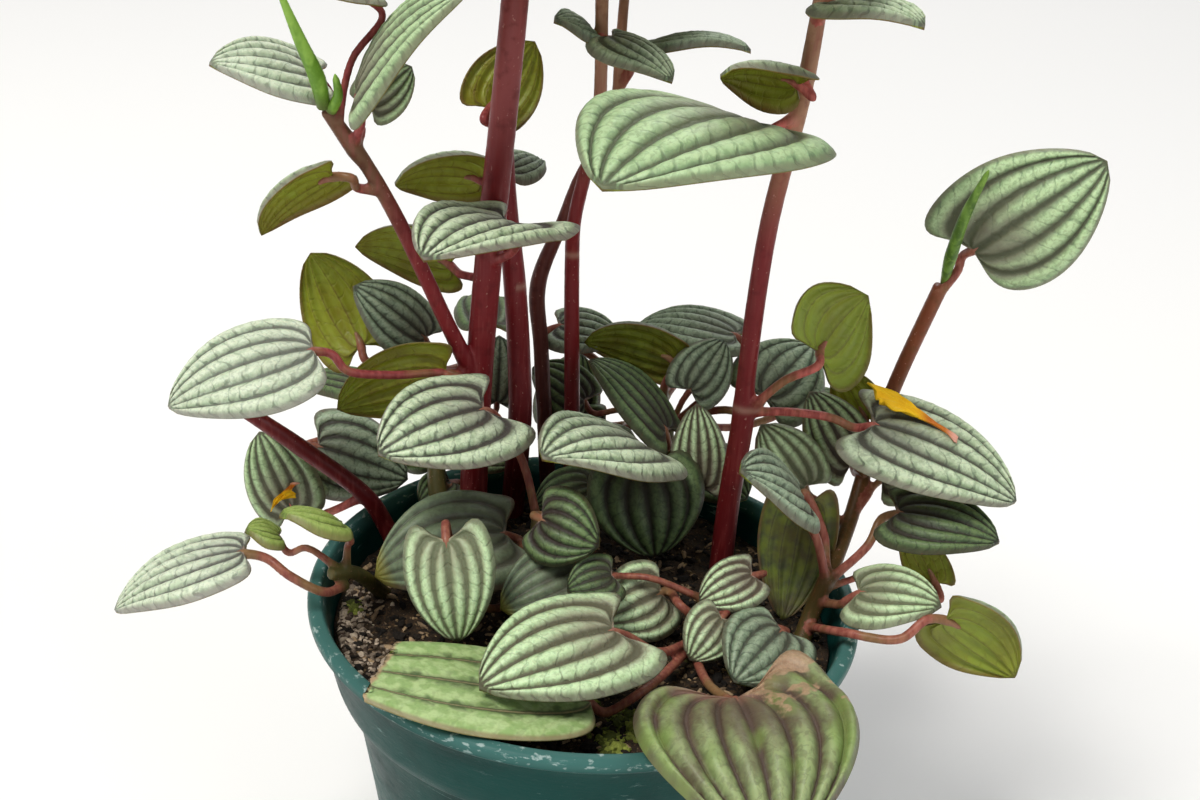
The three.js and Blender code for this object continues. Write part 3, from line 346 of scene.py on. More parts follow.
        Leaf("h6", 38, (736, 698, -39), (778, 850, -68), (0, -0.3, 1), (692, 650, -10), (710, 686, -28),
             quilt=0.9, arch=0.16, cup=0.02, lobe=0.34, lean=0.3),
        Leaf("g13", 31, (590, 700, -33), (300, 660, -38), (0, 0.12, 1), (693, 646, -9.8), (644, 690, -29),
             torn=0.74, cup=0, arch=0, curl=0, lobe=0.05),
        Leaf("h3", 11, (752, 575, -4), (699, 602, -8), (0, -0.6, 0.8), (708, 598, -5), (735, 585, -4)),
        Leaf("h4", 11, (722, 618, -12), (690, 660, -18), (0, -0.8, 0.6), (704, 608, -7), (714, 612, -9)),
        Leaf("g12", 11, (612, 575, -9), (567, 590, -12), (0, -0.6, 0.8), (706, 600, -5), (650, 578, -7)),
    ]),
    "shoot_right": ("rust", [
        [(800, 645, 1.9), (812, 612, -1, 1.8), (826, 580, 0, 1.7)],
        [(824, 588, 0, 1.7), (850, 520, 14, 1.6), (874, 440, 24, 1.6), (897, 380, 25, 1.55),
         (941, 286, 20, 1.5)],
    ], [
        Leaf("e1", 25, (973, 251, 16), (1107, 162, 12), (0.1, -0.88, 0.5), (936, 297, 20.5), (958, 270, 18),
             lobe=0.16, lean=0.6),
        Leaf("h1", 18, (802, 496, -4), (744, 469, -12), (-0.2, -0.4, 0.9), (826, 582, 0), (815, 535, -2)),
        Leaf("h2", 15.5, (803, 503, 10), (783, 618, 4), (0.2, 1, 0.1), (826, 578, 0), (824, 535, 6)),
        Leaf("h7", 17, (898, 512, 3), (1000, 539, -4), (0.1, -0.4, 0.9), (827, 582, 0), (868, 545, 2)),
        Leaf("h8", 15.5, (859, 592, -9), (941, 603, -15), (0.1, -0.4, 0.9), (818, 602, 0), (842, 604, -6)),
        Leaf("h9", 22, (948, 618, -16), (1018, 673, -22), (0.5, 0.8, 0.3), (806, 626, -1), (842, 632, -15),
             (900, 639, -19)),
        Leaf("h10", 9, (935, 580, 4), (905, 527, 6), (0, 1, 0.3), (824, 588, 0), (880, 575, 3)),
        Leaf("h12", 14, (852, 463, 22), (811, 392, 26), (0, -0.8, 0.5), (866, 474, 17.5), (858, 470, 20)),
        Leaf("h13", 13, (882, 478, 17), (940, 450, 17), (0, -0.6, 0.8), (850, 520, 14.5), (868, 496, 17)),
        Leaf("h15", 14, (806, 486, 15), (762, 425, 18), (0, -0.8, 0.5), (846, 532, 12.5), (830, 508, 16)),
        Leaf("h16", 11, (866, 418, 28), (838, 368, 32), (0, 1, 0.3), (880, 436, 20), (874, 428, 24)),
    ]),
    "shoot_back_right": ("olive", [
        [(676, 524, 1.7), (668, 440, 39, 1.5), (662, 394, 41, 1.3)],
    ], [
        Leaf("k3", 18, (735, 334, 44), (636, 322, 52), (0, -0.1, 1), (667, 430, 40), (712, 390, 38)),
        Leaf("k5", 20, (765, 395, 34), (812, 345, 44), (0, -0.6, 0.7), (668, 420, 40), (720, 410, 36)),
        Leaf("k6", 14, (585, 400, 50), (533, 366, 53), (0, -0.5, 0.8), (665, 415, 40.5), (620, 410, 47)),
        Leaf("k7", 15, at(20, 64, 116), at(30, 90, 110), (0, 0.3, 1), (663, 400, 41), at(18, 54, 112)),
        Leaf("k8", 15, at(44, 56, 106), at(66, 72, 98), (0.3, 0.2, 1), (667, 424, 40), at(32, 50, 102)),
        Leaf("k2", 16, (674, 358, 41), (586, 338, 45), (0, 1, 0.4), (662, 398, 41), (668, 378, 40)),
        Leaf("k1", 15, (560, 325, 52), (622, 341, 50), (0, -0.3, 1), (664, 400, 41), (610, 370, 50),
             (575, 345, 54)),
        Leaf("k4", 13, (690, 390, 34), (725, 340, 38), (0, -0.8, 0.5), (667, 430, 40), (678, 410, 37)),
        Leaf("k14", 15, (630, 455, 44), (590, 490, 38), (0, -0.6, 0.8), (669, 452, 39), (650, 455, 43)),
        Leaf("k15", 15, (604, 428, 50), (556, 448, 49), (0, -0.6, 0.8), (668, 434, 39.3), (632, 426, 47)),
        Leaf("k16", 15, (706, 462, 41), (748, 498, 35), (0, -0.6, 0.8), (670, 460, 39), (690, 460, 41)),
        Leaf("k17", 15, (562, 420, 57), (580, 352, 62), (0, -0.8, 0.5), (666, 420, 40.3), (612, 426, 54)),
    ]),
}

# The pale rings on the stems, where leaves have dropped.
RINGS = [(740, 408, 14), (465, 369, 31), (572, 259, 36), (538, 285, 38)]

# The green flower spikes: each its two colours and its parts, as places that end with the radius there.
SPIKES = {
    "spike_left": ("6a962c", "90ba4c", [
        [(324, 106, 13.6, 1.3), (317, 78, 11, 1.5), (300, 40, 7, 1.1), (283, 0, 4, 0.6),
         (272, -28, 3, 0.45)],
        [(331, 110, 13.6, 1.1), (338, 96, 12, 0.9), (335, 74, 10, 0.5)],
    ]),
    "spike_right": ("42621a", "6a8e34", [
        [(944, 284, 20.2, 0.75), (951, 256, 15, 1.2), (966, 214, 11, 1.0), (989, 170, 8, 0.45)],
    ]),
}

# The dropped petals: each the leaf that it lies on, its ends as shares across and along it, and how
# broad it is as a share across.
FLORETS = {
    "floret_right": ("leaf_d4", (0.66, 0.06), (0.16, 0.5), 0.42),
    "floret_left": ("leaf_f6", (0.1, 0.14), (-0.5, 0.32), 0.6),
}

# How broad a petal is along its length.
PETAL_BREADTH = (
    (0, 0.8), (0.06, 1.7), (0.2, 1.4), (0.34, 1.2), (0.44, 0.5), (0.6, 0.28), (0.85, 0.24), (0.95, 0.4),
    (1, 0.3),
)


# ------------------------------------------------------------------ meshes

def keep_on_points(mesh, key, values):
    """Keeps a number or a vector on each point of a mesh."""
    values = np.asarray(values, float)
    kind, field = ("FLOAT", "value") if values.ndim == 1 else ("FLOAT_VECTOR", "vector")
    mesh.attributes.new(key, kind, "POINT").data.foreach_set(field, values.ravel())


def add_mesh(name, points, faces, attributes=(), smooth=True):
    """An object of these points, in millimetres, and faces. Attributes are kept on its points."""
    mesh = bpy.data.meshes.new(name)
    mesh.from_pydata((np.asarray(points) * MM).tolist(), [], faces)
    for key, values in dict(attributes).items():
        keep_on_points(mesh, key, values)
    mesh.polygons.foreach_set("use_smooth", [smooth] * len(mesh.polygons))
    mesh.update()
    piece = bpy.data.objects.new(name, mesh)
    bpy.context.scene.collection.objects.link(piece)
    return piece


def finish_piece(piece, material, slot, *nodes):
    """The piece gets its material, rides with the part, and stands for these nodes."""
    piece.data.materials.append(material)
    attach(piece, "root")
    if nodes:
        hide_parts(*nodes)


def smooth_path(points, radii, steps):
    """Points and radii along a smooth curve through the given ones, `steps` to each stretch."""
    ends = [2 * points[0] - points[1], *points, 2 * points[-1] - points[-2]]
    path = []
    sizes = []
    for i in range(1, len(ends) - 2):
        p0, p1, p2, p3 = ends[i - 1:i + 3]
        d0, d1, d2 = (max(math.sqrt(np.linalg.norm(b - a)), 1e-3) for a, b in ((p0, p1), (p1, p2), (p2, p3)))
        start = (p1 - p0) / d0 - (p2 - p0) / (d0 + d1) + (p2 - p1) / d1
        end = (p2 - p1) / d1 - (p3 - p1) / (d1 + d2) + (p3 - p2) / d2
        for k in range(steps + (i == len(ends) - 3)):
            s = k / steps
            path.append(
                (2 * s ** 3 - 3 * s ** 2 + 1) * p1 + (s ** 3 - 2 * s ** 2 + s) * start * d1
                + (3 * s ** 2 - 2 * s ** 3) * p2 + (s ** 3 - s ** 2) * end * d1
            )
            sizes.append(radii[i - 1] + (radii[i] - radii[i - 1]) * s)
    return np.array(path), np.array(sizes)


def walked_along(path):
    """How far along a path each of its points is."""
    return np.concatenate([[0], np.cumsum(np.linalg.norm(np.diff(path, axis=0), axis=1))])


def wall_faces(rings, sides, start=0):
    """The faces between rings of points that follow one another."""
    faces = []
    for i in range(rings - 1):
        for k in range(sides):
            a = start + i * sides + k
            b = start + i * sides + (k + 1) % sides
            faces.append((a, b, b + sides, a + sides))
    return faces


def shell_faces(rings, sides):
    """The faces of rings of points that close at both ends."""
    last = (rings - 1) * sides
    return [*wall_faces(rings, sides), tuple(range(sides))[::-1], tuple(range(last, last + sides))]


def tube(path, sizes, sides):
    """The points and faces of a closed round tube along a path. `sizes` may hold a radius for each
    point of each ring."""
    tangents = np.gradient(path, axis=0)
    tangents /= np.linalg.norm(tangents, axis=1)[:, None]
    normal = unit(np.cross(tangents[0], [0.3, 1.0, 0.2]))
    turns = 2 * np.pi * np.arange(sides) / sides
    sizes = np.asarray(sizes)
    rings = []
    for i, (centre, tangent) in enumerate(zip(path, tangents)):
        normal = unit(normal - tangent * normal.dot(tangent))
        other = np.cross(tangent, normal)
        radius = sizes[i][:, None] if sizes.ndim == 2 else sizes[i]
        rings.append(centre + radius * (np.outer(np.cos(turns), normal) + np.outer(np.sin(turns), other)))
    return np.concatenate(rings), shell_faces(len(path), sides)


def joined(parts):
    """Several (points, faces) as one."""
    points = []
    faces = []
    count = 0
    for some, theirs in parts:
        points.append(some)
        faces += [tuple(i + count for i in face) for face in theirs]
        count += len(some)
    return np.concatenate(points), faces


def applied(piece, *modifiers):
    """The piece's mesh after these modifiers, each a type and its settings."""
    for kind, settings in modifiers:
        modifier = piece.modifiers.new(kind.lower(), kind)
        for key, value in settings.items():
            setattr(modifier, key, value)
    graph = bpy.context.evaluated_depsgraph_get()
    mesh = bpy.data.meshes.new_from_object(piece.evaluated_get(graph))
    piece.modifiers.clear()
    old, piece.data = piece.data, mesh
    bpy.data.meshes.remove(old)
    mesh.polygons.foreach_set("use_smooth", [True] * len(mesh.polygons))
    return mesh


def coordinates(mesh):
    points = np.empty(3 * len(mesh.vertices))
    mesh.vertices.foreach_get("co", points)
    return points.reshape(-1, 3)


# ------------------------------------------------------------------ leaves

def outline_share(along):
    """How broad the blade is at a share of its length, from 0 to 1."""
    return np.clip(np.sin(np.pi * along ** OUTLINE_SKEW), 0, 1) ** OUTLINE_FULLNESS


def ridge(share, veins):
    """How high the blade stands between two veins, from 0 on a vein to 1 midway."""
    height = np.zeros_like(share)
    for low, high in zip(veins, veins[1:]):
        inside = (share >= low) & (share <= high)
        height = np.where(inside, np.sin(np.pi * np.clip((share - low) / (high - low), 0, 1)), height)
    return height


def cell_offset(across, veins):
    """A number for each strip between two veins, so that the cross veins of two strips don't meet."""
    strip = np.searchsorted(veins, np.abs(across), side="right")
    return 0.37 * strip + 0.21 * (across > 0)


def blade_surface(leaf, across, along, fine=True):
    """The blade's upper face as points in the leaf's frame, and the attributes that its veins need."""
    length, width = leaf.length, leaf.width
    share = np.abs(across)
    back = along / LOBE_PLACE
    reach = leaf.lobe * (1 + leaf.lean * np.sign(across)) * back * np.exp(1 - back)
    half = width * outline_share(along) / 2
    x = length * (along + (along ** 1.2 - reach - along) * share ** 2)
    y = across * half
    way = x / length
    bow = np.where(way > 0, way * (1 - way), way / (1 - LOBE_LEVEL * np.minimum(way, 0)))
    swell = np.clip(np.sin(np.pi * along), 0, 1) ** 0.5
    puffed = ridge(share, leaf.veins)
    coarse = 0.55 + 0.45 * width / BROAD_WIDTH
    rung = (x - RUNG_SLANT * np.abs(y)) / (RUNG * coarse)
    rung = rung + cell_offset(across, leaf.veins) + leaf.seed
    turn = WAVES * np.pi * along + np.where(across > 0, *WAVE_STARTS)
    z = (
        leaf.arch * length * 4 * bow
        - leaf.cup * width * 2 * (y / width) ** 2
        + leaf.wave * share ** 2 * np.sin(turn) * swell
        - leaf.curl * length * np.maximum(0, along - CURL_START) ** 2
    )
    if fine:
        fullness = leaf.quilt * coarse
        z = z + (TORN_SWELL if leaf.torn else SWELL) * fullness * puffed ** 0.8 * swell
        z = z - RUNG_DEPTH * fullness * puffed * np.cos(2 * np.pi * rung) * swell
        z = z - EDGE_DROP * share ** EDGE_CRISPNESS * swell
    else:
        z = z + leaf.quilt * puffed * swell
    points = np.stack([x, y, z], axis=-1)
    return points, dict(half=half, rung=rung, ridge=puffed, seed=np.full_like(x, leaf.seed))


def blade_mesh(leaf):
    """The points, faces and attributes of a leaf's blade: two faces and a rounded edge."""
    sides = max(6, 2 * round(leaf.width / COLUMN / 4))
    rows = max(16, round(leaf.length / ROW))
    half = np.linspace(0, 1, sides + 1) ** 0.92
    columns = np.concatenate([-half[:0:-1], half])
    steps = np.linspace(0, 1, rows + 1)[1:-1] ** 1.25
    along, across = np.meshgrid(steps, columns, indexing="ij")
    across = np.concatenate([[0.0], across.ravel(), [0.0]])
    along = np.concatenate([[0.0], along.ravel(), [1.0]])
    top, facts = blade_surface(leaf, across, along)
    share = np.abs(across)
    nearest = np.min([np.abs(share - vein) for vein in leaf.veins[:-1]], axis=0) * facts["half"]
    thick = BLADE * (1 - 0.5 * share ** 6)
    rib = RIB * np.exp(-(nearest / RIB_WIDTH) ** 2) * (1 - 0.6 * share) * (1 - along) ** 0.5
    bottom = top - np.stack([0 * share, 0 * share, thick + rib], axis=-1)
    count, wide = len(across), len(columns)
    left = 1 + np.arange(rows - 1) * wide
    right = left + wide - 1
    rim = np.concatenate([left, right])
    middle = (top[rim] + bottom[rim]) / 2
    middle[:, 1] *= 1 + EDGE_BULGE / np.maximum(facts["half"][rim], 1)
    faces = []

    def both(*corners):
        faces.append(corners)
        faces.append(tuple(i + count for i in corners[::-1]))

    last = count - 1
    for k in range(wide - 1):
        both(0, 1 + k, 2 + k)
        for r in range(rows - 2):
            a = 1 + r * wide + k
            both(a, a + wide, a + wide + 1, a + 1)
        a = 1 + (rows - 2) * wide + k
        both(a, last, a + 1)
    for edge, start, turned in ((left, 0, False), (right, len(left), True)):
        line = [0, *edge, last]
        mids = [None, *range(2 * count + start, 2 * count + start + len(edge)), None]
        for a, b, mid_a, mid_b in zip(line, line[1:], mids, mids[1:]):
            upper = [i for i in (a, mid_a, mid_b, b) if i is not None]
            lower = [i + count if i < count else i for i in upper[::-1]]
            faces += [tuple(face[::-1] if turned else face) for face in (upper, lower)]
        for tip, mid in ((0, mids[1]), (last, mids[-2])):
            faces.append((tip, tip + count, mid) if (tip == 0) != turned else (tip + count, tip, mid))

    def spread(values):
        return np.concatenate([values, values, values[rim]])

    points = np.concatenate([top, bottom, middle])
    scale = (leaf.width / BROAD_WIDTH) ** 0.6
    attributes = dict(
        blade=np.stack([spread(across), spread(along), spread(facts["half"]) / scale], axis=-1),
        flat=np.concatenate([points[:, :2] / scale, spread(facts["seed"])[:, None]], axis=1),
        rung=spread(facts["rung"]),
        ridge=spread(facts["ridge"]),
        top=np.concatenate([np.ones(count), np.zeros(count), np.full(len(rim), 0.5)]),
    )
    return leaf.placed(points), faces, attributes


def tear(piece, leaf):
    """Cuts off what is torn from a leaf, along a ragged slanted line."""
    spot = leaf.placed(np.array([leaf.length * leaf.torn, 0, 0])) * MM
    away = np.array([math.cos(TEAR_SLANT), math.sin(TEAR_SLANT), 0]) @ leaf.axes
    mesh = bmesh.new()
    mesh.from_mesh(piece.data)
    geometry = mesh.verts[:] + mesh.edges[:] + mesh.faces[:]
    cut = bmesh.ops.bisect_plane(
        mesh, geom=geometry, plane_co=Vector(spot), plane_no=Vector(away), clear_outer=True,
    )["geom_cut"]
    for corner in (item for item in cut if isinstance(item, bmesh.types.BMVert)):
        ragged = noise.noise(corner.co / (2.2 * MM)) + 0.5 * noise.noise(corner.co / (0.8 * MM))
        corner.co += Vector(away) * (ragged * 1.1 - 0.5) * MM
    bmesh.ops.holes_fill(mesh, edges=[item for item in cut if isinstance(item, bmesh.types.BMEdge)])
    mesh.to_mesh(piece.data)
    mesh.free()
    gone = (coordinates(piece.data) - spot) @ away / MM
    keep_on_points(piece.data, "torn", np.clip(1 + gone / 6, 0, 1))


# ------------------------------------------------------------------ stems and stalks

def stem_path(stem):
    """A stem's path and its radii, from a plain root below the soil where its foot is in it."""
    points = [place(spot) for *spot, radius in stem]
    radii = [radius for *spot, radius in stem]
    if len(stem[0]) == 3:
        rise = unit(points[1] - points[0])
        points.insert(0, points[0] - rise * ROOT_DEPTH / rise[2])
        radii.insert(0, radii[0])
    return smooth_path(points, radii, STEM_STEPS)


def stalk_path(leaf):
    """The stalk's path from the stem into the leaf's midrib, and its radii: flared at both ends."""
    radius = THIN_STALK if leaf.width < SMALL_WIDTH else STALK_RADIUS
    droop = leaf.arch * 4 * STALK_BEND * (1 + STALK_BEND / leaf.length)
    rise = leaf.arch * 4 * STALK_INSIDE * (1 - STALK_INSIDE / leaf.length)
    ends = np.array([
        [-STALK_BEND, 0, -droop - BLADE - 0.3 - radius],
        [0.4, 0, -0.62 * BLADE],
        [STALK_INSIDE, 0, rise - BLADE],
    ])
    points = [*leaf.way, *leaf.placed(ends)]
    path, sizes = smooth_path(points, [radius] * len(points), STALK_STEPS)
    walked = walked_along(path)
    left = walked[-1] - walked
    foot = 0.35 * np.exp(-(walked / 2.5) ** 2)
    joint = 0.1 * np.exp(-((left - STALK_INSIDE) / 1.5) ** 2)
    sizes = sizes * (0.92 + foot + joint) * np.clip(0.5 + left / (2 * STALK_INSIDE), 0.5, 1)
    return path, sizes, walked, left


def stalks_piece(name, stems, leaves):
    """A shoot's stems and stalks grown together, with what the material needs to tell them apart."""
    parts = []
    marks = []
    for stem in stems:
        path, sizes = stem_path(stem)
        for spot in RINGS:
            away = np.linalg.norm(path - place(spot), axis=1) / RING_REACH
            sizes = sizes * (1 + RING_SWELL * np.exp(-away ** 2))
        parts.append(tube(path, sizes, STEM_SIDES))
        marks += [(point, 0.0, 1.0) for point in path]
    for leaf in leaves:
        path, sizes, walked, left = stalk_path(leaf)
        parts.append(tube(path, sizes, STALK_SIDES))
        marks += zip(path, np.minimum(1.0, walked / 5), np.minimum(1.0, left / 6))
    piece = add_mesh(f"stalks_{name}", *joined(parts))
    mesh = applied(
        piece,
        ("REMESH", dict(mode="VOXEL", voxel_size=VOXEL * MM, adaptivity=0.0)),
        ("SMOOTH", dict(factor=0.5, iterations=3)),
    )
    tree = kdtree.KDTree(len(marks))
    for i, (point, _, _) in enumerate(marks):
        tree.insert(Vector(point * MM), i)
    tree.balance()
    found = [marks[tree.find(corner.co)[1]] for corner in mesh.vertices]
    keep_on_points(mesh, "stalk", [stalk for _, stalk, _ in found])
    keep_on_points(mesh, "leafward", [leafward for _, _, leafward in found])
    corners = coordinates(mesh) / MM
    ring = np.zeros(len(corners))
    for spot in RINGS:
        x, y, z = (corners - place(spot)).T
        ring = np.maximum(ring, (np.hypot(x, y) < 5) * np.exp(-(z / 0.7) ** 2))
    keep_on_points(mesh, "ring", ring)
    return piece


# ------------------------------------------------------------------ spikes and petals

def spike_piece(name, parts):
    """A flower spike covered with beads that stand in a spiral."""
    turns = 2 * np.pi * np.arange(SPIKE_SIDES) / SPIKE_SIDES
    shapes = []
    risen = []
    for part in parts:
        points = [place(spot) for *spot, radius in part]
        path, sizes = smooth_path(points, [radius for *spot, radius in part], SPIKE_STEPS)
        walked = walked_along(path)[:, None]
        round_it, up_it = BEAD_ROWS * turns, BEAD_TURN * walked
        beads = np.cos(round_it + up_it) * np.cos(round_it - up_it)
        blunt = np.sqrt(np.clip((walked[-1] - walked) / 1.2, 0.03, 1))
        shapes.append(tube(path, sizes[:, None] * blunt * (1 + BEAD_HEIGHT * beads), SPIKE_SIDES))
        risen.append(np.repeat(walked / walked[-1], SPIKE_SIDES))
    return add_mesh(f"{name}_beaded", *joined(shapes), dict(risen=np.concatenate(risen)))


def petal_piece(name, under, start, end, width):
    """A thin curled petal on a leaf, broad near its start and narrow at its end."""
    steps, wide = PETAL_ROWS, PETAL_COLUMNS
    share, side = np.meshgrid(np.linspace(0, 1, steps), np.linspace(-1, 1, wide), indexing="ij")
    share, side = share.ravel(), side.ravel()
    broad = np.interp(share, *zip(*PETAL_BREADTH))
    across = start[0] + (end[0] - start[0]) * share + side * width * broad / 2
    along = start[1] + (end[1] - start[1]) * share
    under_it, _ = blade_surface(under, across, along, fine=False)
    flare = np.clip(1 - share / 0.45, 0, 1) ** 0.6
    ruffle = 0.45 * np.sin(9 * side + 14 * share) * (0.1 + flare) + 0.7 * side ** 2 * (0.6 + flare)
    top = under_it + np.stack([0 * share, 0 * share, PETAL_LIFT + ruffle + 1.2 * flare], axis=-1)
    bottom = top - np.array([0, 0, PETAL])
    count = len(top)
    faces = []
    for r in range(steps - 1):
        for k in range(wide - 1):
            a = r * wide + k
            faces.append((a, a + wide, a + wide + 1, a + 1))
            faces.append(tuple(i + count for i in (a + 1, a + wide + 1, a + wide, a)))
    edge = [r * wide for r in range(steps)] + [(steps - 1) * wide + k for k in range(1, wide)]
    edge += [r * wide + wide - 1 for r in range(steps - 2, -1, -1)] + list(range(wide - 2, 0, -1))
    for a, b in zip(edge, edge[1:] + edge[:1]):
        faces.append((b, a, a + count, b + count))
    points = under.placed(np.concatenate([top, bottom]))
    return add_mesh(f"{name}_petal", points, faces, dict(share=np.concatenate([share, share])))


# ------------------------------------------------------------------ pot, soil, crumbs and moss

def circle(radius, sides):
    """Places evenly round a circle, as (x, y)."""
    turns = [2 * math.pi * k / sides for k in range(sides)]
    return [(radius * math.cos(turn), radius * math.sin(turn)) for turn in turns]


def rounded(profile, times):
    """An open profile with its corners cut finer and finer. The ends stay."""
    points = np.array(profile, float)
    for _ in range(times):
        near = 0.82 * points[:-1] + 0.18 * points[1:]
        far = 0.18 * points[:-1] + 0.82 * points[1:]
        middle = np.stack([near, far], axis=1).reshape(-1, 2)
        points = np.concatenate([points[:1], middle[1:-1], points[-1:]])
    return points


def pot_piece():
    """The pot's wall as a smooth turned shell, with drain holes through its floor."""
    profile = rounded([
        (0.01, 0), (FOOT_RADIUS - 1, 0), (FOOT_RADIUS, 0.4),
        (BODY_RADIUS, COLLAR_FOOT - SHOULDER), (COLLAR_FOOT_RADIUS, COLLAR_FOOT),
        (COLLAR_RADIUS, RIM_HEIGHT - LIP_HEIGHT - LIP_ROUND), (RIM_RADIUS, RIM_HEIGHT - LIP_HEIGHT),
        (RIM_RADIUS, RIM_HEIGHT - LIP_ROUND), (RIM_RADIUS - LIP_ROUND, RIM_HEIGHT),
        (RIM_RADIUS - RIM_WIDTH, RIM_HEIGHT), (COLLAR_FOOT_RADIUS - WALL, COLLAR_FOOT + SHOULDER),
        (BODY_RADIUS - WALL, COLLAR_FOOT), (FOOT_RADIUS - WALL, FLOOR), (0.01, FLOOR),
    ], 3)
    points = [(x, y, height) for radius, height in profile for x, y in circle(radius, POT_SIDES)]
    piece = add_mesh("nursery_pot", points, shell_faces(len(profile), POT_SIDES))
    drills = []
    for i in range(DRAIN_HOLES):
        turn = 2 * math.pi * (i + 0.5) / DRAIN_HOLES
        centre = FOOT_RADIUS * DRAIN_PLACE * np.array([math.cos(turn), math.sin(turn), 0])
        path = np.array([centre + at(0, 0, -2 * FLOOR), centre, centre + at(0, 0, 3 * FLOOR)])
        drills.append(tube(path, np.full(3, DRAIN_RADIUS), 32))
    drill = add_mesh("drill", *joined(drills))
    applied(piece, ("BOOLEAN", dict(operation="DIFFERENCE", object=drill, solver="EXACT")))
    bpy.data.objects.remove(drill)
    return piece


def soil_top(x, y):
    """The soil's height at a place, in millimetres."""
    spot = Vector((x, y, 0))
    broad = noise.noise(spot / CLOD)
    grain = noise.noise(spot / LUMP) + 0.6 * noise.noise(spot / CRUMB)
    return SOIL_HEIGHT - SOIL_DROP + CLOD_HEIGHT * broad + LUMP_HEIGHT * grain


def soil_piece():
    """The soil: a lumpy top, and a plain body that follows the inside of the pot."""
    points = [(0, 0, soil_top(0, 0))]
    for ring in range(1, SOIL_RINGS + 1):
        radius = SOIL_RADIUS * ring / SOIL_RINGS
        points += [(x, y, soil_top(x, y)) for x, y in circle(radius, SOIL_SIDES)]
    body = [
        (COLLAR_FOOT_RADIUS, COLLAR_FOOT + SHOULDER), (BODY_RADIUS, COLLAR_FOOT),
        (FOOT_RADIUS, FLOOR + SOIL_GAP),
    ]
    for radius, height in body:
        points += [(x, y, height) for x, y in circle(radius - (WALL + SOIL_GAP), SOIL_SIDES)]
    faces = [(0, 1 + k, 1 + (k + 1) % SOIL_SIDES) for k in range(SOIL_SIDES)]
    faces += [(a, d, c, b) for a, b, c, d in wall_faces(SOIL_RINGS + len(body), SOIL_SIDES, 1)]
    faces.append(tuple(range(len(points) - SOIL_SIDES, len(points)))[::-1])
    return add_mesh("potting_soil", points, faces)


def crumb(level):
    """The points and faces of a plain round grain whose radius is one millimetre."""
    mesh = bmesh.new()
    bmesh.ops.create_icosphere(mesh, subdivisions=level, radius=1)
    points = np.array([corner.co for corner in mesh.verts])
    faces = [tuple(corner.index for corner in face.verts) for face in mesh.faces]
    mesh.free()
    return points, faces


def scattered(name, draw, count, seed, level):
    """Grains of one kind on the soil. `draw` gives each its place, size, squash and tone."""
    rng = random.Random(seed)
    shape, faces = crumb(level)
    parts = []
    tones = []
    for _ in range(count):
        x, y, size, squash, tone = draw(rng)
        turn = np.array(Matrix.Rotation(rng.uniform(0, 6.28), 3, "Z"))
        lean = np.array(Matrix.Rotation(rng.uniform(-0.7, 0.7), 3, "X"))
        drift = Vector((rng.uniform(0, 50), rng.uniform(0, 50), 0))
        bulge = np.array([1 + 0.55 * noise.noise(Vector(p) * 1.1 + drift) for p in shape])
        points = shape * bulge[:, None] * size * np.array([1, squash, squash * 0.7])
        points = points @ lean.T @ turn.T + np.array([x, y, soil_top(x, y) + size * squash * 0.25])
        parts.append((points, faces))
        tones += [tone] * len(points)
    return add_mesh(name, *joined(parts), dict(tone=tones), smooth=False)


def anywhere(sizes, squashes, tones, fading=1):
    """Draws grains all over the soil, with their sizes, squashes and tones between these."""
    def draw(rng):
        radius = GRAIN_REACH * math.sqrt(rng.random())
        turn = rng.uniform(0, 2 * math.pi)
        size = rng.uniform(*sizes)
        squash = rng.uniform(*squashes)
        tone = tones[0] + (tones[1] - tones[0]) * rng.random() ** fading
        return radius * math.cos(turn), radius * math.sin(turn), size, squash, tone
    return draw


def kept_in(x, y):
    """A place, or the nearest one to it that grains reach."""
    share = GRAIN_REACH / max(GRAIN_REACH, math.hypot(x, y))
    return x * share, y * share


# The patch of pale debris by the left of the rim, as pixels of the soil's level.
DEBRIS = ((318, 600), (345, 640), (380, 668), (345, 600), (330, 622))


def debris_grain(rng):
    spot = place(rng.choice(DEBRIS))
    x, y = kept_in(spot[0] + rng.gauss(0, 3.2), spot[1] + rng.gauss(0, 3.6))
    return x, y, rng.uniform(0.2, 0.65) * rng.uniform(1, 1.7), rng.uniform(0.5, 0.95), rng.random()


# Where moss grows, as pixels of the soil's level, with the patch's radius.
MOSS = (
    ((566, 722), 3.0), ((606, 732), 3.2), ((626, 716), 3.6), ((642, 730), 3.0), ((614, 746), 2.6),
    ((588, 702), 2.4), ((352, 604), 2.4),
)


def moss_cushion(rng):
    """A small round cushion on one of the moss's patches."""
    spot, size = rng.choice(MOSS)
    centre = place(spot)
    turn, out = rng.uniform(0, 2 * math.pi), math.sqrt(rng.random())
    x, y = kept_in(centre[0] + size * out * math.cos(turn), centre[1] + size * out * math.sin(turn))
    return x, y, rng.uniform(0.35, 0.9) * (1.5 - 0.7 * out), rng.uniform(0.7, 1.0), rng.random()


# What lies on the soil: each piece's material, its two colours, how its grains are drawn, how many
# there are, their seed and how finely each is rounded.
GRAINS = {
    "soil_grit": ("grit", "2c2218", "a88c68", anywhere((0.18, 0.55), (0.5, 0.9), (0, 1), 1.5), 2600, 13, 1),
    "peat_lumps": ("peat", "14100c", "3a2c20", anywhere((0.5, 1.5), (0.5, 0.9), (0, 0.35)), 900, 3, 1),
    "bark_chips": ("bark", "3a2a1e", "b89c7a", anywhere((0.5, 1.7), (0.25, 0.5), (0.35, 1)), 420, 5, 2),
    "pale_debris": ("debris", "3f3026", "cbb8a2", debris_grain, 1100, 7, 1),
    "moss": ("moss", "454d1c", "8f9842", moss_cushion, 420, 11, 2),
}


# ------------------------------------------------------------------ materials

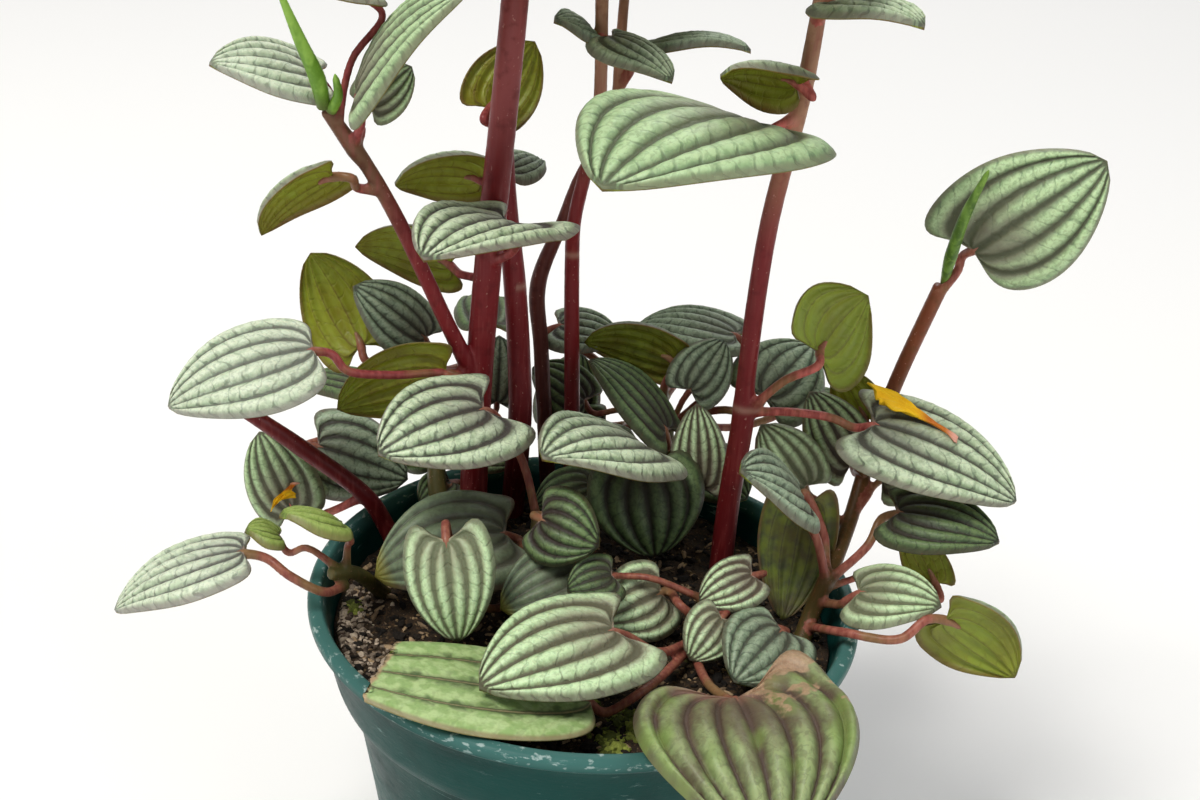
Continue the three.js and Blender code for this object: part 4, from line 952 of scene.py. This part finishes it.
def colour(text):
    """The linear colour of a web colour."""
    values = [int(text[i:i + 2], 16) / 255 for i in (0, 2, 4)]
    return (*(v / 12.92 if v <= 0.04045 else ((v + 0.055) / 1.055) ** 2.4 for v in values), 1.0)


class Value:
    """An output of a material's node, that sums can be written with."""

    def __init__(self, paint, socket):
        self.paint = paint
        self.socket = socket

    def __add__(self, other):
        return self.paint.math("ADD", self, other)

    def __sub__(self, other):
        return self.paint.math("SUBTRACT", self, other)

    def __rsub__(self, other):
        return self.paint.math("SUBTRACT", other, self)

    def __mul__(self, other):
        return self.paint.math("MULTIPLY", self, other)

    def __truediv__(self, other):
        return self.paint.math("DIVIDE", self, other)

    def __abs__(self):
        return self.paint.math("ABSOLUTE", self)

    def step(self, low, high, start=0.0, end=1.0):
        """Eases from `start` to `end` while the value goes from `low` to `high`."""
        inputs = {0: self, 1: low, 2: high, 3: start, 4: end}
        return self.paint.node("MapRange", inputs, interpolation_type="SMOOTHSTEP")


class Paint:
    """A material, with short calls that add nodes to it and give their outputs."""

    def __init__(self, name):
        self.material = bpy.data.materials.new(name)
        self.material.use_nodes = True
        self.tree = self.material.node_tree
        self.surface = self.tree.nodes["Principled BSDF"]

    def put(self, socket, value):
        if isinstance(value, Value):
            self.tree.links.new(value.socket, socket)
        else:
            socket.default_value = colour(value) if isinstance(value, str) else value

    def add(self, kind, inputs, **settings):
        node = self.tree.nodes.new(f"ShaderNode{kind}")
        for key, value in settings.items():
            setattr(node, key, value)
        for key, value in inputs.items():
            self.put(node.inputs[key], value)
        return node

    def node(self, kind, inputs, output=0, **settings):
        return Value(self, self.add(kind, inputs, **settings).outputs[output])

    def math(self, operation, *values):
        return self.node("Math", dict(enumerate(values)), operation=operation)

    def mix(self, share, low, high):
        return self.node("Mix", {0: share, 6: low, 7: high}, 2, data_type="RGBA")

    def coated(self, base, *coats):
        """A colour under coats of others, each given after the share of it that shows."""
        for share, coat in coats:
            base = self.mix(share, base, coat)
        return base

    def attribute(self, name, output="Fac"):
        return self.node("Attribute", {}, output, attribute_name=name)

    def split(self, vector):
        return [Value(self, socket) for socket in self.add("SeparateXYZ", {0: vector}).outputs]

    def scaled(self, vector, *scale):
        return self.node("VectorMath", {0: vector, 1: scale}, operation="MULTIPLY")

    def place(self):
        """Where a point is, in millimetres."""
        return self.scaled(self.node("TexCoord", {}, "Object"), 1 / MM, 1 / MM, 1 / MM)

    def noise(self, vector, scale, detail=3.0, rough=0.55, output="Fac"):
        inputs = {"Vector": vector, "Scale": scale, "Detail": detail, "Roughness": rough}
        return self.node("TexNoise", inputs, output)

    def set(self, **values):
        for key, value in values.items():
            self.put(self.surface.inputs[key.replace("_", " ")], value)

    def bump(self, height, distance):
        self.set(Normal=self.node("Bump", {"Height": height, "Distance": distance * MM}, "Normal"))

    def finished(self, base, grain, smooth, rough, bump, gloss=0.3):
        """The material in this colour, with roughness and bumps that follow a grain."""
        self.set(Base_Color=base, Roughness=grain.step(0.3, 0.7, smooth, rough), Specular_IOR_Level=gloss)
        self.bump(grain, bump)
        return self.material


# Leaf colours: crest, slope and foot of the cells between veins, veins, the dusk beside them, cross
# veins, edge, and then the underside and its veins. The crest is partly painted highlight and the foot,
# by the sunken veins, partly painted shade, over the leaf's own silver and green.
LEAF_COLOURS = {
    "silver": "d2e0be 9fb58c 6f8265 413a34 7a776c 3d4a39 857c70 7e8014 5b4214",
    "pale": "dfe8ce b8caa8 8b9b82 575550 8f9086 505d4c 97908a 7e8014 5b4214",
    "bract": "a9bc6a 8aa04a 6c8238 4f5a28 6c7038 55682c 7a6a48 74852a 5b4a2c",
    "fresh": "c2dba8 94b380 69805c 46372f 83776b 3d5038 7b7560 889634 66602c",
    "grand": "c6dfac 96b582 69805c 42342d 776b61 3d5038 7b7560 7c8a26 66602c",
    "lively": "d6eebe b2d09a 849c6e 48352c 86746a 44563a 70605a 74852a 5b4a2c",
    # Painted shade: the shade, dark and dull looks are darker copies for the leaves in the plant's shadow.
    "shade": "a6b79a 788b70 4e5c48 363029 5c564b 353e31 6c6658 6a7214 453714",
    "dark": "6c8252 465c38 303c28 2c1f1a 382f27 242c20 4e4a36 5a6010 403510",
    "dull": "8a9c78 66755c 4e5444 463c34 5f5648 434a3c 75604f 545a40 3c3a2c",
    "old": "bcd394 95b46e 6c824c 4a4a34 69754a 56623f 8a7458 6f7f34 54482c",
    "worn": "9aaa74 768456 5f5e42 45322c 634d40 4d4640 4f4036 66703a 54402c",
}

# How wide the veins are, how strong the dusk beside them is, how much of both is left at the tip, how
# clear the cross veins are, and how dark the heart is, where the veins meet. The heart's dark is partly
# the veins' own colour and partly painted shade at the joint.
VEIN_FACTS = {
    "silver": (0.8, 0.7, 0.7, 0.85, 0.6),
    "pale": (0.7, 0.55, 0.6, 0.75, 0.2),
    "fresh": (1.0, 0.85, 0.75, 0.7, 1.0),
    "grand": (1.0, 0.9, 0.8, 0.75, 1.0),
    "lively": (1.0, 0.85, 0.95, 0.85, 0.6),
    "bract": (0.5, 0.4, 0.7, 0.3, 0.2),
    "shade": (0.6, 0.5, 0.6, 0.75, 0.5),
    "dark": (0.8, 0.7, 0.6, 0.6, 0.6),
    "dull": (0.7, 0.6, 0.4, 0.2, 0.6),
    "old": (0.8, 0.6, 0.8, 0.25, 0.1),
    "worn": (0.55, 0.8, 0.9, 0.25, 0.8),
}

# How wide each vein is beside the midrib, outwards.
VEIN_SHARES = (1.0, 0.85, 0.7, 0.55)


class LeafPaint(Paint):
    """A leaf's material: mottled pale cells between dark sunken veins, thin slanting cross veins, and
    an olive back."""

    def __init__(self, look):
        super().__init__(f"leaf_{look}")
        self.look = look
        self.crest, self.slope, self.foot, self.vein, self.dusk, *others = LEAF_COLOURS[look].split()
        self.line, self.edge, self.back, self.back_vein = others
        vein_width, halo_share, at_tip, lined, self.hearted = VEIN_FACTS[look]
        self.across, self.along, self.half = self.split(self.attribute("blade", "Vector"))
        self.share = abs(self.across)
        self.flat = self.attribute("flat", "Vector")
        self.ridge = self.attribute("ridge")
        self.wander = self.noise(self.flat, 0.3, 2.0) - 0.5
        self.ragged = self.noise(self.flat, 0.9, 3.0, 0.6) - 0.5
        self.tiny = self.noise(self.flat, 2.6, 2.0)
        self.mottle = self.noise(self.flat, 0.5, 2.0, 0.5)
        warp = self.scaled(self.noise(self.flat, 0.8, 2.0, 0.5, "Color"), 1.6, 1.6, 0.0)
        self.warp = self.node("VectorMath", {0: warp, 1: self.flat}, operation="ADD")
        self.away = self.from_veins(vein_width)
        fading = (self.along + self.wander).step(0.15, 1.1, 1.0, at_tip)
        self.core = self.away.step(0.3, 1.0, 1.0, 0.0) * fading
        self.halo = self.away.step(0.4, 2.3, halo_share, 0.0) * fading
        self.lines = self.cross_veins() * lined
        border_width = 1.3 if look == "lively" else 0.9
        self.border = ((1.0 - self.share) * self.half).step(0.15, border_width, 1.0, 0.0)

    def from_veins(self, vein_width):
        """How far the nearest vein is, in its own widths."""
        tipward = self.along.step(0.0, 1.0, 1.3, 0.4)
        nearest = None
        for vein, width in zip(VEINS_OF.get(self.look, VEINS)[:-1], VEIN_SHARES):
            away = abs(self.share - vein) * self.half + self.ragged * 0.5
            away = away / (tipward * (width * vein_width))
            nearest = self.math("MINIMUM", nearest, away) if nearest else away
        return nearest

    def cross_veins(self):
        """Slanting rungs between the veins, and a net of finer ones."""
        phase = self.attribute("rung") + self.wander * 1.3 + self.ragged * 0.12
        folded = abs(self.math("FRACT", phase) - 0.5)
        rungs = self.math("MULTIPLY_ADD", self.ridge, -0.1, folded).step(0.3, 0.4)
        rungs = rungs * (self.ridge + self.ragged * 1.2).step(0.3, 1.1, 1.0, 0.35)
        net = {"Vector": self.scaled(self.warp, 0.8, 1.2, 1.0), "Scale": 0.62}
        twigs = self.node("TexVoronoi", net, "Distance", feature="DISTANCE_TO_EDGE")
        twigs = twigs.step(0.0, 0.1, 0.3, 0.0) * self.ridge.step(0.2, 0.95, 0.9, 0.3)
        return self.math("MAXIMUM", rungs, twigs)

    def cells(self):
        """The cells between the veins: pale crests, darker slopes, and dusk at the leaf's heart. The crests
        are partly painted highlight, and the slopes, feet and heart are partly painted shade.
        """
        # Painted highlight and shade: paler up to each crest and darker down to the sunken veins, over the
        # leaf's own silver.
        lift = self.ridge + self.ragged * 0.6
        cell = self.coated(
            self.foot,
            (lift.step(0.0, 0.6), self.slope),
            (lift.step(0.4, 1.0), self.crest),
            (self.mottle.step(0.48, 0.62, 0.0, 0.55), self.crest),
            (self.mottle.step(0.34, 0.5, 0.5, 0.0), self.slope),
            (self.noise(self.warp, 1.5, 2.0).step(0.36, 0.54, 0.4, 0.0), self.foot),
        )
        if self.look == "old":
            cell = self.mix(0.65, cell, self.mix(self.mottle.step(0.4, 0.6), self.slope, self.crest))
        # The heart: the veins' own dark where they meet, with painted shade round the joint.
        heart = (self.along + self.wander * 0.5).step(0.06, 0.6, self.hearted, 0.0)
        return self.mix(heart * self.share.step(0.25, 0.85, 1.0, 0.0), cell, self.dusk)

    def worn(self):
        """The torn and dying leaf: brown blotches, a green patch, and a crisp dry lobe."""
        blotch = self.noise(self.scaled(self.flat, 0.5, 1.0, 1.0), 0.15).step(0.42, 0.6, 0.0, 0.65)
        green = self.noise(self.scaled(self.flat, 0.6, 1.0, 1.0), 0.13, 2.0).step(0.52, 0.66, 0.0, 0.5)
        crisp = self.math("MULTIPLY_ADD", self.ragged, 0.5, self.across).step(0.3, 0.42)
        crisp = crisp * (self.along + self.wander).step(0.16, 0.22, 1.0, 0.0)
        return (
            (blotch, "5c4a40"),
            (green, "7f9c48"),
            (self.along.step(0.01, 0.15, 0.7, 0.0), "8c6656"),
            (crisp * 0.85, self.mix(self.tiny, "8a6a50", "c8aa8a")),
        )

    def old(self):
        """The torn broad leaf: painted shade on one side of its folds, a pale thread along each vein, and a
        dry ragged end.
        """
        return (
            # Painted shade: dark olive beside the veins, on one side, where the folds would shade the blade.
            (self.away.step(0.2, 5.0, 0.9, 0.0) * self.wander.step(-0.02, 0.14), "4a5a36"),
            (self.away.step(0.0, 0.42, 0.6, 0.0), "a89a72"),
            ((self.attribute("torn") + self.wander * 0.5).step(0.8, 0.95), "b59a78"),
        )

    def dull(self):
        """A leaf in shade, whose veins are soft and whose tip is yellow."""
        soft = self.mix(self.wander.step(-0.1, 0.15), self.foot, self.slope)
        return (
            (self.border.step(0.0, 0.6, 0.42, 0.0), soft),
            (self.along.step(0.86, 0.99, 0.0, 0.7), "b5ab48"),
        )

    def upper(self):
        shade = self.mix(0.4, self.foot, self.vein)
        shade = self.mix(self.along.step(0.1, 0.9, 0.9, 0.3), shade, self.dusk)
        joint = (self.along * 14.0 + self.half).step(0.6, 3.0, 1.0, 0.0)
        own = self.node("TexWhiteNoise", {"W": self.split(self.flat)[2]}, "Value", noise_dimensions="1D")
        extras = {"worn": self.worn, "old": self.old, "dull": self.dull}.get(self.look, tuple)
        return self.coated(
            self.cells(),
            (self.lines, self.line),
            (self.halo, shade),
            (self.core, self.vein),
            (self.border * 0.78, self.edge),
            (joint * 0.75, "b79a8c"),
            (own * 0.32, self.mix(0.5, self.foot, self.slope)),
            (self.tiny.step(0.7, 0.8, 0.0, 0.35), self.crest),
            *extras(),
        )

    def lower(self):
        return self.coated(
            self.back,
            (self.wander.step(-0.25, 0.25), self.mix(0.5, self.back, "98aa34")),
            (self.noise(self.flat, 0.07, 2.0).step(0.42, 0.68, 0.0, 0.6), self.mix(0.5, self.back, "6b400c")),
            (self.lines * 0.2, self.back_vein),
            (self.away.step(0.0, 0.5, 1.0, 0.0) * 0.55, self.back_vein),
            (self.border * 0.55, "6b4130"),
        )


def leaf_material(look):
    paint = LeafPaint(look)
    paint.set(Base_Color=paint.mix(paint.attribute("top").step(0.4, 0.6), paint.lower(), paint.upper()))
    paint.set(Roughness=paint.math("MULTIPLY_ADD", paint.tiny, 0.3, 0.34) + paint.core * 0.12)
    paint.set(Specular_IOR_Level=0.4, Subsurface_Weight=0.06, Subsurface_Scale=0.001)
    paint.bump(paint.tiny * 0.25 - paint.lines * 0.7 - paint.core * 0.6, 0.16)
    return paint.material


# Stem colours: the stem at its foot, higher up and at its top, its streaks, and its stalks' two.
STEM_COLOURS = {
    "wine": "4f0d10 7a1c22 8a4040 984a48 7c3234 a04e4c",
    "crimson": "4f0d10 761a1e a87c60 934440 9a4844 cc6e64",
    "plum": "3c1614 62302a a0745a 7c4c3e 74362e 8e5444",
    "rust": "4e4422 7c422c 8a5c40 94583c 86463c a86858",
    "olive": "4e4a26 6f6c42 6f6c42 80643f 7c4038 98604c",
}


def stem_material(tone):
    """A fleshy stem with long streaks, pale dots and rings, and stalks of dusty pink that grow from it."""
    low, high, top, streak, dusky, rosy = STEM_COLOURS[tone].split()
    paint = Paint(f"stem_{tone}")
    spot = paint.place()
    x, _, height = paint.split(spot)
    streaks = paint.noise(paint.scaled(spot, 1.1, 1.1, 0.07), 1.0)
    mottle = paint.noise(spot, 0.4)
    dots = paint.noise(paint.scaled(spot, 1, 1, 0.6), 1.9, 1.0).step(0.71, 0.76, 0.0, 0.5)
    stem = paint.coated(low, (height.step(SOIL_HEIGHT, 140.0), high), (height.step(155.0, 188.0), top))
    if tone == "wine":
        stem = paint.mix(x.step(-46.0, -37.0, 0.9, 0.0), stem, "6c5038")
    stem = paint.coated(
        stem,
        (streaks.step(0.45, 0.75, 0.0, 0.4), streak),
        (mottle.step(0.5, 0.75, 0.0, 0.4), low),
        (dots, "b98378"),
        (paint.attribute("ring") * 0.5, "b58f7c"),
    )
    stalk = paint.coated(
        dusky,
        (streaks.step(0.3, 0.7), rosy),
        (paint.noise(spot, 0.11, 2.0).step(0.5, 0.68, 0.0, 0.6), "7c6c40"),
        (paint.attribute("leafward").step(0.0, 0.8, 0.45, 0.0), "95785c"),
    )
    paint.set(Base_Color=paint.mix(paint.attribute("stalk").step(0.1, 0.9), stem, stalk))
    paint.set(Roughness=mottle.step(0.3, 0.7, 0.32, 0.5), Specular_IOR_Level=0.25)
    paint.set(Subsurface_Weight=0.05, Subsurface_Scale=0.001)
    paint.bump(streaks * 0.5 + dots * 0.5, 0.12)
    return paint.material


def pot_material():
    """Dark teal moulded plastic, with a paler rim that is partly rubbed wear and partly a painted highlight,
    white scuffs and dusty smears.
    """
    paint = Paint("teal_plastic")
    spot = paint.place()
    height = paint.split(spot)[2]
    dust = paint.noise(paint.scaled(spot, 0.12, 0.12, 0.2), 1.0, 6.0, 0.7)
    scratch = paint.noise(paint.scaled(spot, 0.16, 0.16, 1.1), 1.0, 5.0, 0.7)
    patch = paint.noise(spot, 0.06, 2.0).step(0.46, 0.58)
    collar = height.step(COLLAR_FOOT - 6, COLLAR_FOOT + 2, 0.3, 1.0)
    scuffs = scratch.step(0.6, 0.68) * patch * collar
    # Painted highlight with wear: the top of the rim is paler, where light catches the lip.
    rim = height.step(RIM_HEIGHT - 3.6, RIM_HEIGHT - 0.9)
    chips = paint.noise(paint.scaled(spot, 0.5, 0.5, 1.2), 1.0, 4.0).step(0.58, 0.68) * rim
    base = paint.coated(
        "083330",
        (paint.noise(spot, 0.05, 4.0).step(0.35, 0.65), "10443f"),
        (dust.step(0.6, 0.8, 0.0, 0.2), "3f6863"),
        (rim * 0.55, "55837d"),
        (scuffs * 0.7, "9db8b4"),
        (chips * 0.5, "c5d6d2"),
    )
    paint.set(Base_Color=base, Specular_IOR_Level=0.08)
    paint.set(Roughness=dust.step(0.4, 0.8, 0.35, 0.55) + scuffs * 0.3)
    paint.bump(scratch * 0.5 + paint.noise(spot, 1.4) * 0.25, 0.12)
    return paint.material


def soil_material():
    paint = Paint("potting_soil")
    spot = paint.place()
    grain = paint.noise(spot, 0.9, 6.0, 0.7)
    base = paint.coated(
        "1a140e",
        (paint.noise(spot, 0.22).step(0.35, 0.65), "382b1e"),
        (grain.step(0.48, 0.64, 0.0, 0.8), "5c4630"),
        (paint.noise(spot, 3.1, 2.0).step(0.66, 0.72, 0.0, 0.7), "a08a6c"),
    )
    return paint.finished(base, grain, 0.75, 0.98, 0.9)


def crumb_material(name, low, high):
    """Grains whose colour runs from low to high with their tone, and mottled."""
    paint = Paint(name)
    grain = paint.noise(paint.place(), 1.8, 4.0, 0.65)
    tone = paint.attribute("tone").step(0.0, 1.0)
    base = paint.coated(low, (tone, high), (grain.step(0.45, 0.7, 0.0, 0.45), low))
    return paint.finished(base, grain, 0.7, 0.95, 0.3)


def spike_material(name, low, high):
    paint = Paint(f"{name}_green")
    spot = paint.place()
    fleck = paint.noise(spot, 0.9)
    base = paint.coated(
        low,
        (paint.noise(paint.scaled(spot, 0.4, 0.4, 0.12), 1.0, 2.0).step(0.4, 0.62), high),
        (fleck.step(0.5, 0.72, 0.0, 0.25), "a9c95e"),
        (paint.attribute("risen").step(0.0, 0.16, 0.75, 0.0), "4c4a24"),
    )
    return paint.finished(base, fleck, 0.42, 0.55, 0.05, 0.35)


def petal_material():
    paint = Paint("petal_yellow")
    fold = paint.noise(paint.place(), 0.6)
    share = paint.attribute("share")
    base = paint.coated(
        "fccb1a",
        (share.step(0.4, 0.62), "c9741f"),
        (share.step(0.78, 0.95), "dca08c"),
        (fold.step(0.52, 0.7, 0.0, 0.4), "e8a418"),
    )
    return paint.finished(base, fold, 0.5, 0.75, 0.2)


# ------------------------------------------------------------------ the stage

SENSOR_WIDTH = 36.0
STAGE_REACH = 4000.0
LIT_SPOT = (0, 0, 0.12)

# Each lamp's place in metres, size, power and tint.
LAMPS = {
    "key": ((-0.9, -0.8, 2.2), 1.0, 47, (1.0, 0.985, 0.95)),
    "fill": ((1.8, -1.4, 1.2), 1.6, 14, (0.96, 0.98, 1.0)),
    "back": ((0.4, 2.0, 1.8), 1.4, 16, (1.0, 1.0, 1.0)),
}


def add_camera():
    camera = bpy.data.objects.new("camera", bpy.data.cameras.new("camera"))
    camera.data.lens = SENSOR_WIDTH * EYE_FOCUS / FRAME_WIDTH
    camera.data.clip_start = 0.01
    turned = Matrix([[*row] for row in np.array([RIGHT, UP, -AHEAD]).T]).to_4x4()
    camera.matrix_world = Matrix.Translation(Vector(EYE * MM)) @ turned
    bpy.context.scene.collection.objects.link(camera)
    bpy.context.scene.camera = camera


def add_lamp(name, spot, size, power, tint):
    light = bpy.data.lights.new(name, "AREA")
    light.shape = "DISK"
    light.size = size
    light.energy = power
    light.color = tint
    lamp = bpy.data.objects.new(name, light)
    lamp.location = spot
    lamp.rotation_euler = (Vector(LIT_SPOT) - Vector(spot)).to_track_quat("-Z", "Y").to_euler()
    bpy.context.scene.collection.objects.link(lamp)


def add_stage():
    corners = [(x * STAGE_REACH, y * STAGE_REACH, 0) for x, y in ((-1, -1), (1, -1), (1, 1), (-1, 1))]
    floor = add_mesh("floor", corners, [(0, 1, 2, 3)])
    paint = Paint("pale_floor")
    paint.set(Base_Color="fcfbf9", Roughness=0.9)
    floor.data.materials.append(paint.material)
    world = bpy.data.worlds.new("soft_sky")
    world.use_nodes = True
    sky = world.node_tree.nodes["Background"]
    sky.inputs["Color"].default_value = (0.97, 0.98, 1.0, 1.0)
    sky.inputs["Strength"].default_value = 0.3
    bpy.context.scene.world = world
    for name, facts in LAMPS.items():
        add_lamp(name, *facts)
    bpy.context.scene.view_settings.view_transform = "Standard"


# ------------------------------------------------------------------ building

def build_pot():
    finish_piece(pot_piece(), pot_material(), "pot", "pot")
    finish_piece(soil_piece(), soil_material(), "soil", "soil")
    for name, (material, low, high, draw, count, seed, level) in GRAINS.items():
        grains = scattered(name, draw, count, seed, level)
        finish_piece(grains, crumb_material(material, low, high), "soil")


def build_plant():
    looks = {look: leaf_material(look) for look in LEAF_COLOURS}
    tones = {tone: stem_material(tone) for tone in STEM_COLOURS}
    grown = {}
    for name, (tone, stems, leaves) in SHOOTS.items():
        finish_piece(stalks_piece(name, stems, leaves), tones[tone], "stem", name)
        for leaf in leaves:
            grown[leaf.name] = leaf
            piece = add_mesh(f"{leaf.name}_blade", *blade_mesh(leaf))
            if leaf.torn:
                tear(piece, leaf)
            nodes = [leaf.name] if leaf.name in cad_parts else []
            finish_piece(piece, looks[leaf.look], "leaf", *nodes)
    for name, (low, high, parts) in SPIKES.items():
        finish_piece(spike_piece(name, parts), spike_material(name, low, high), "spike", name)
    yellow = petal_material()
    for name, (under, start, end, width) in FLORETS.items():
        finish_piece(petal_piece(name, grown[under], start, end, width), yellow, "floret", name)


add_camera()
add_stage()
build_pot()
build_plant()
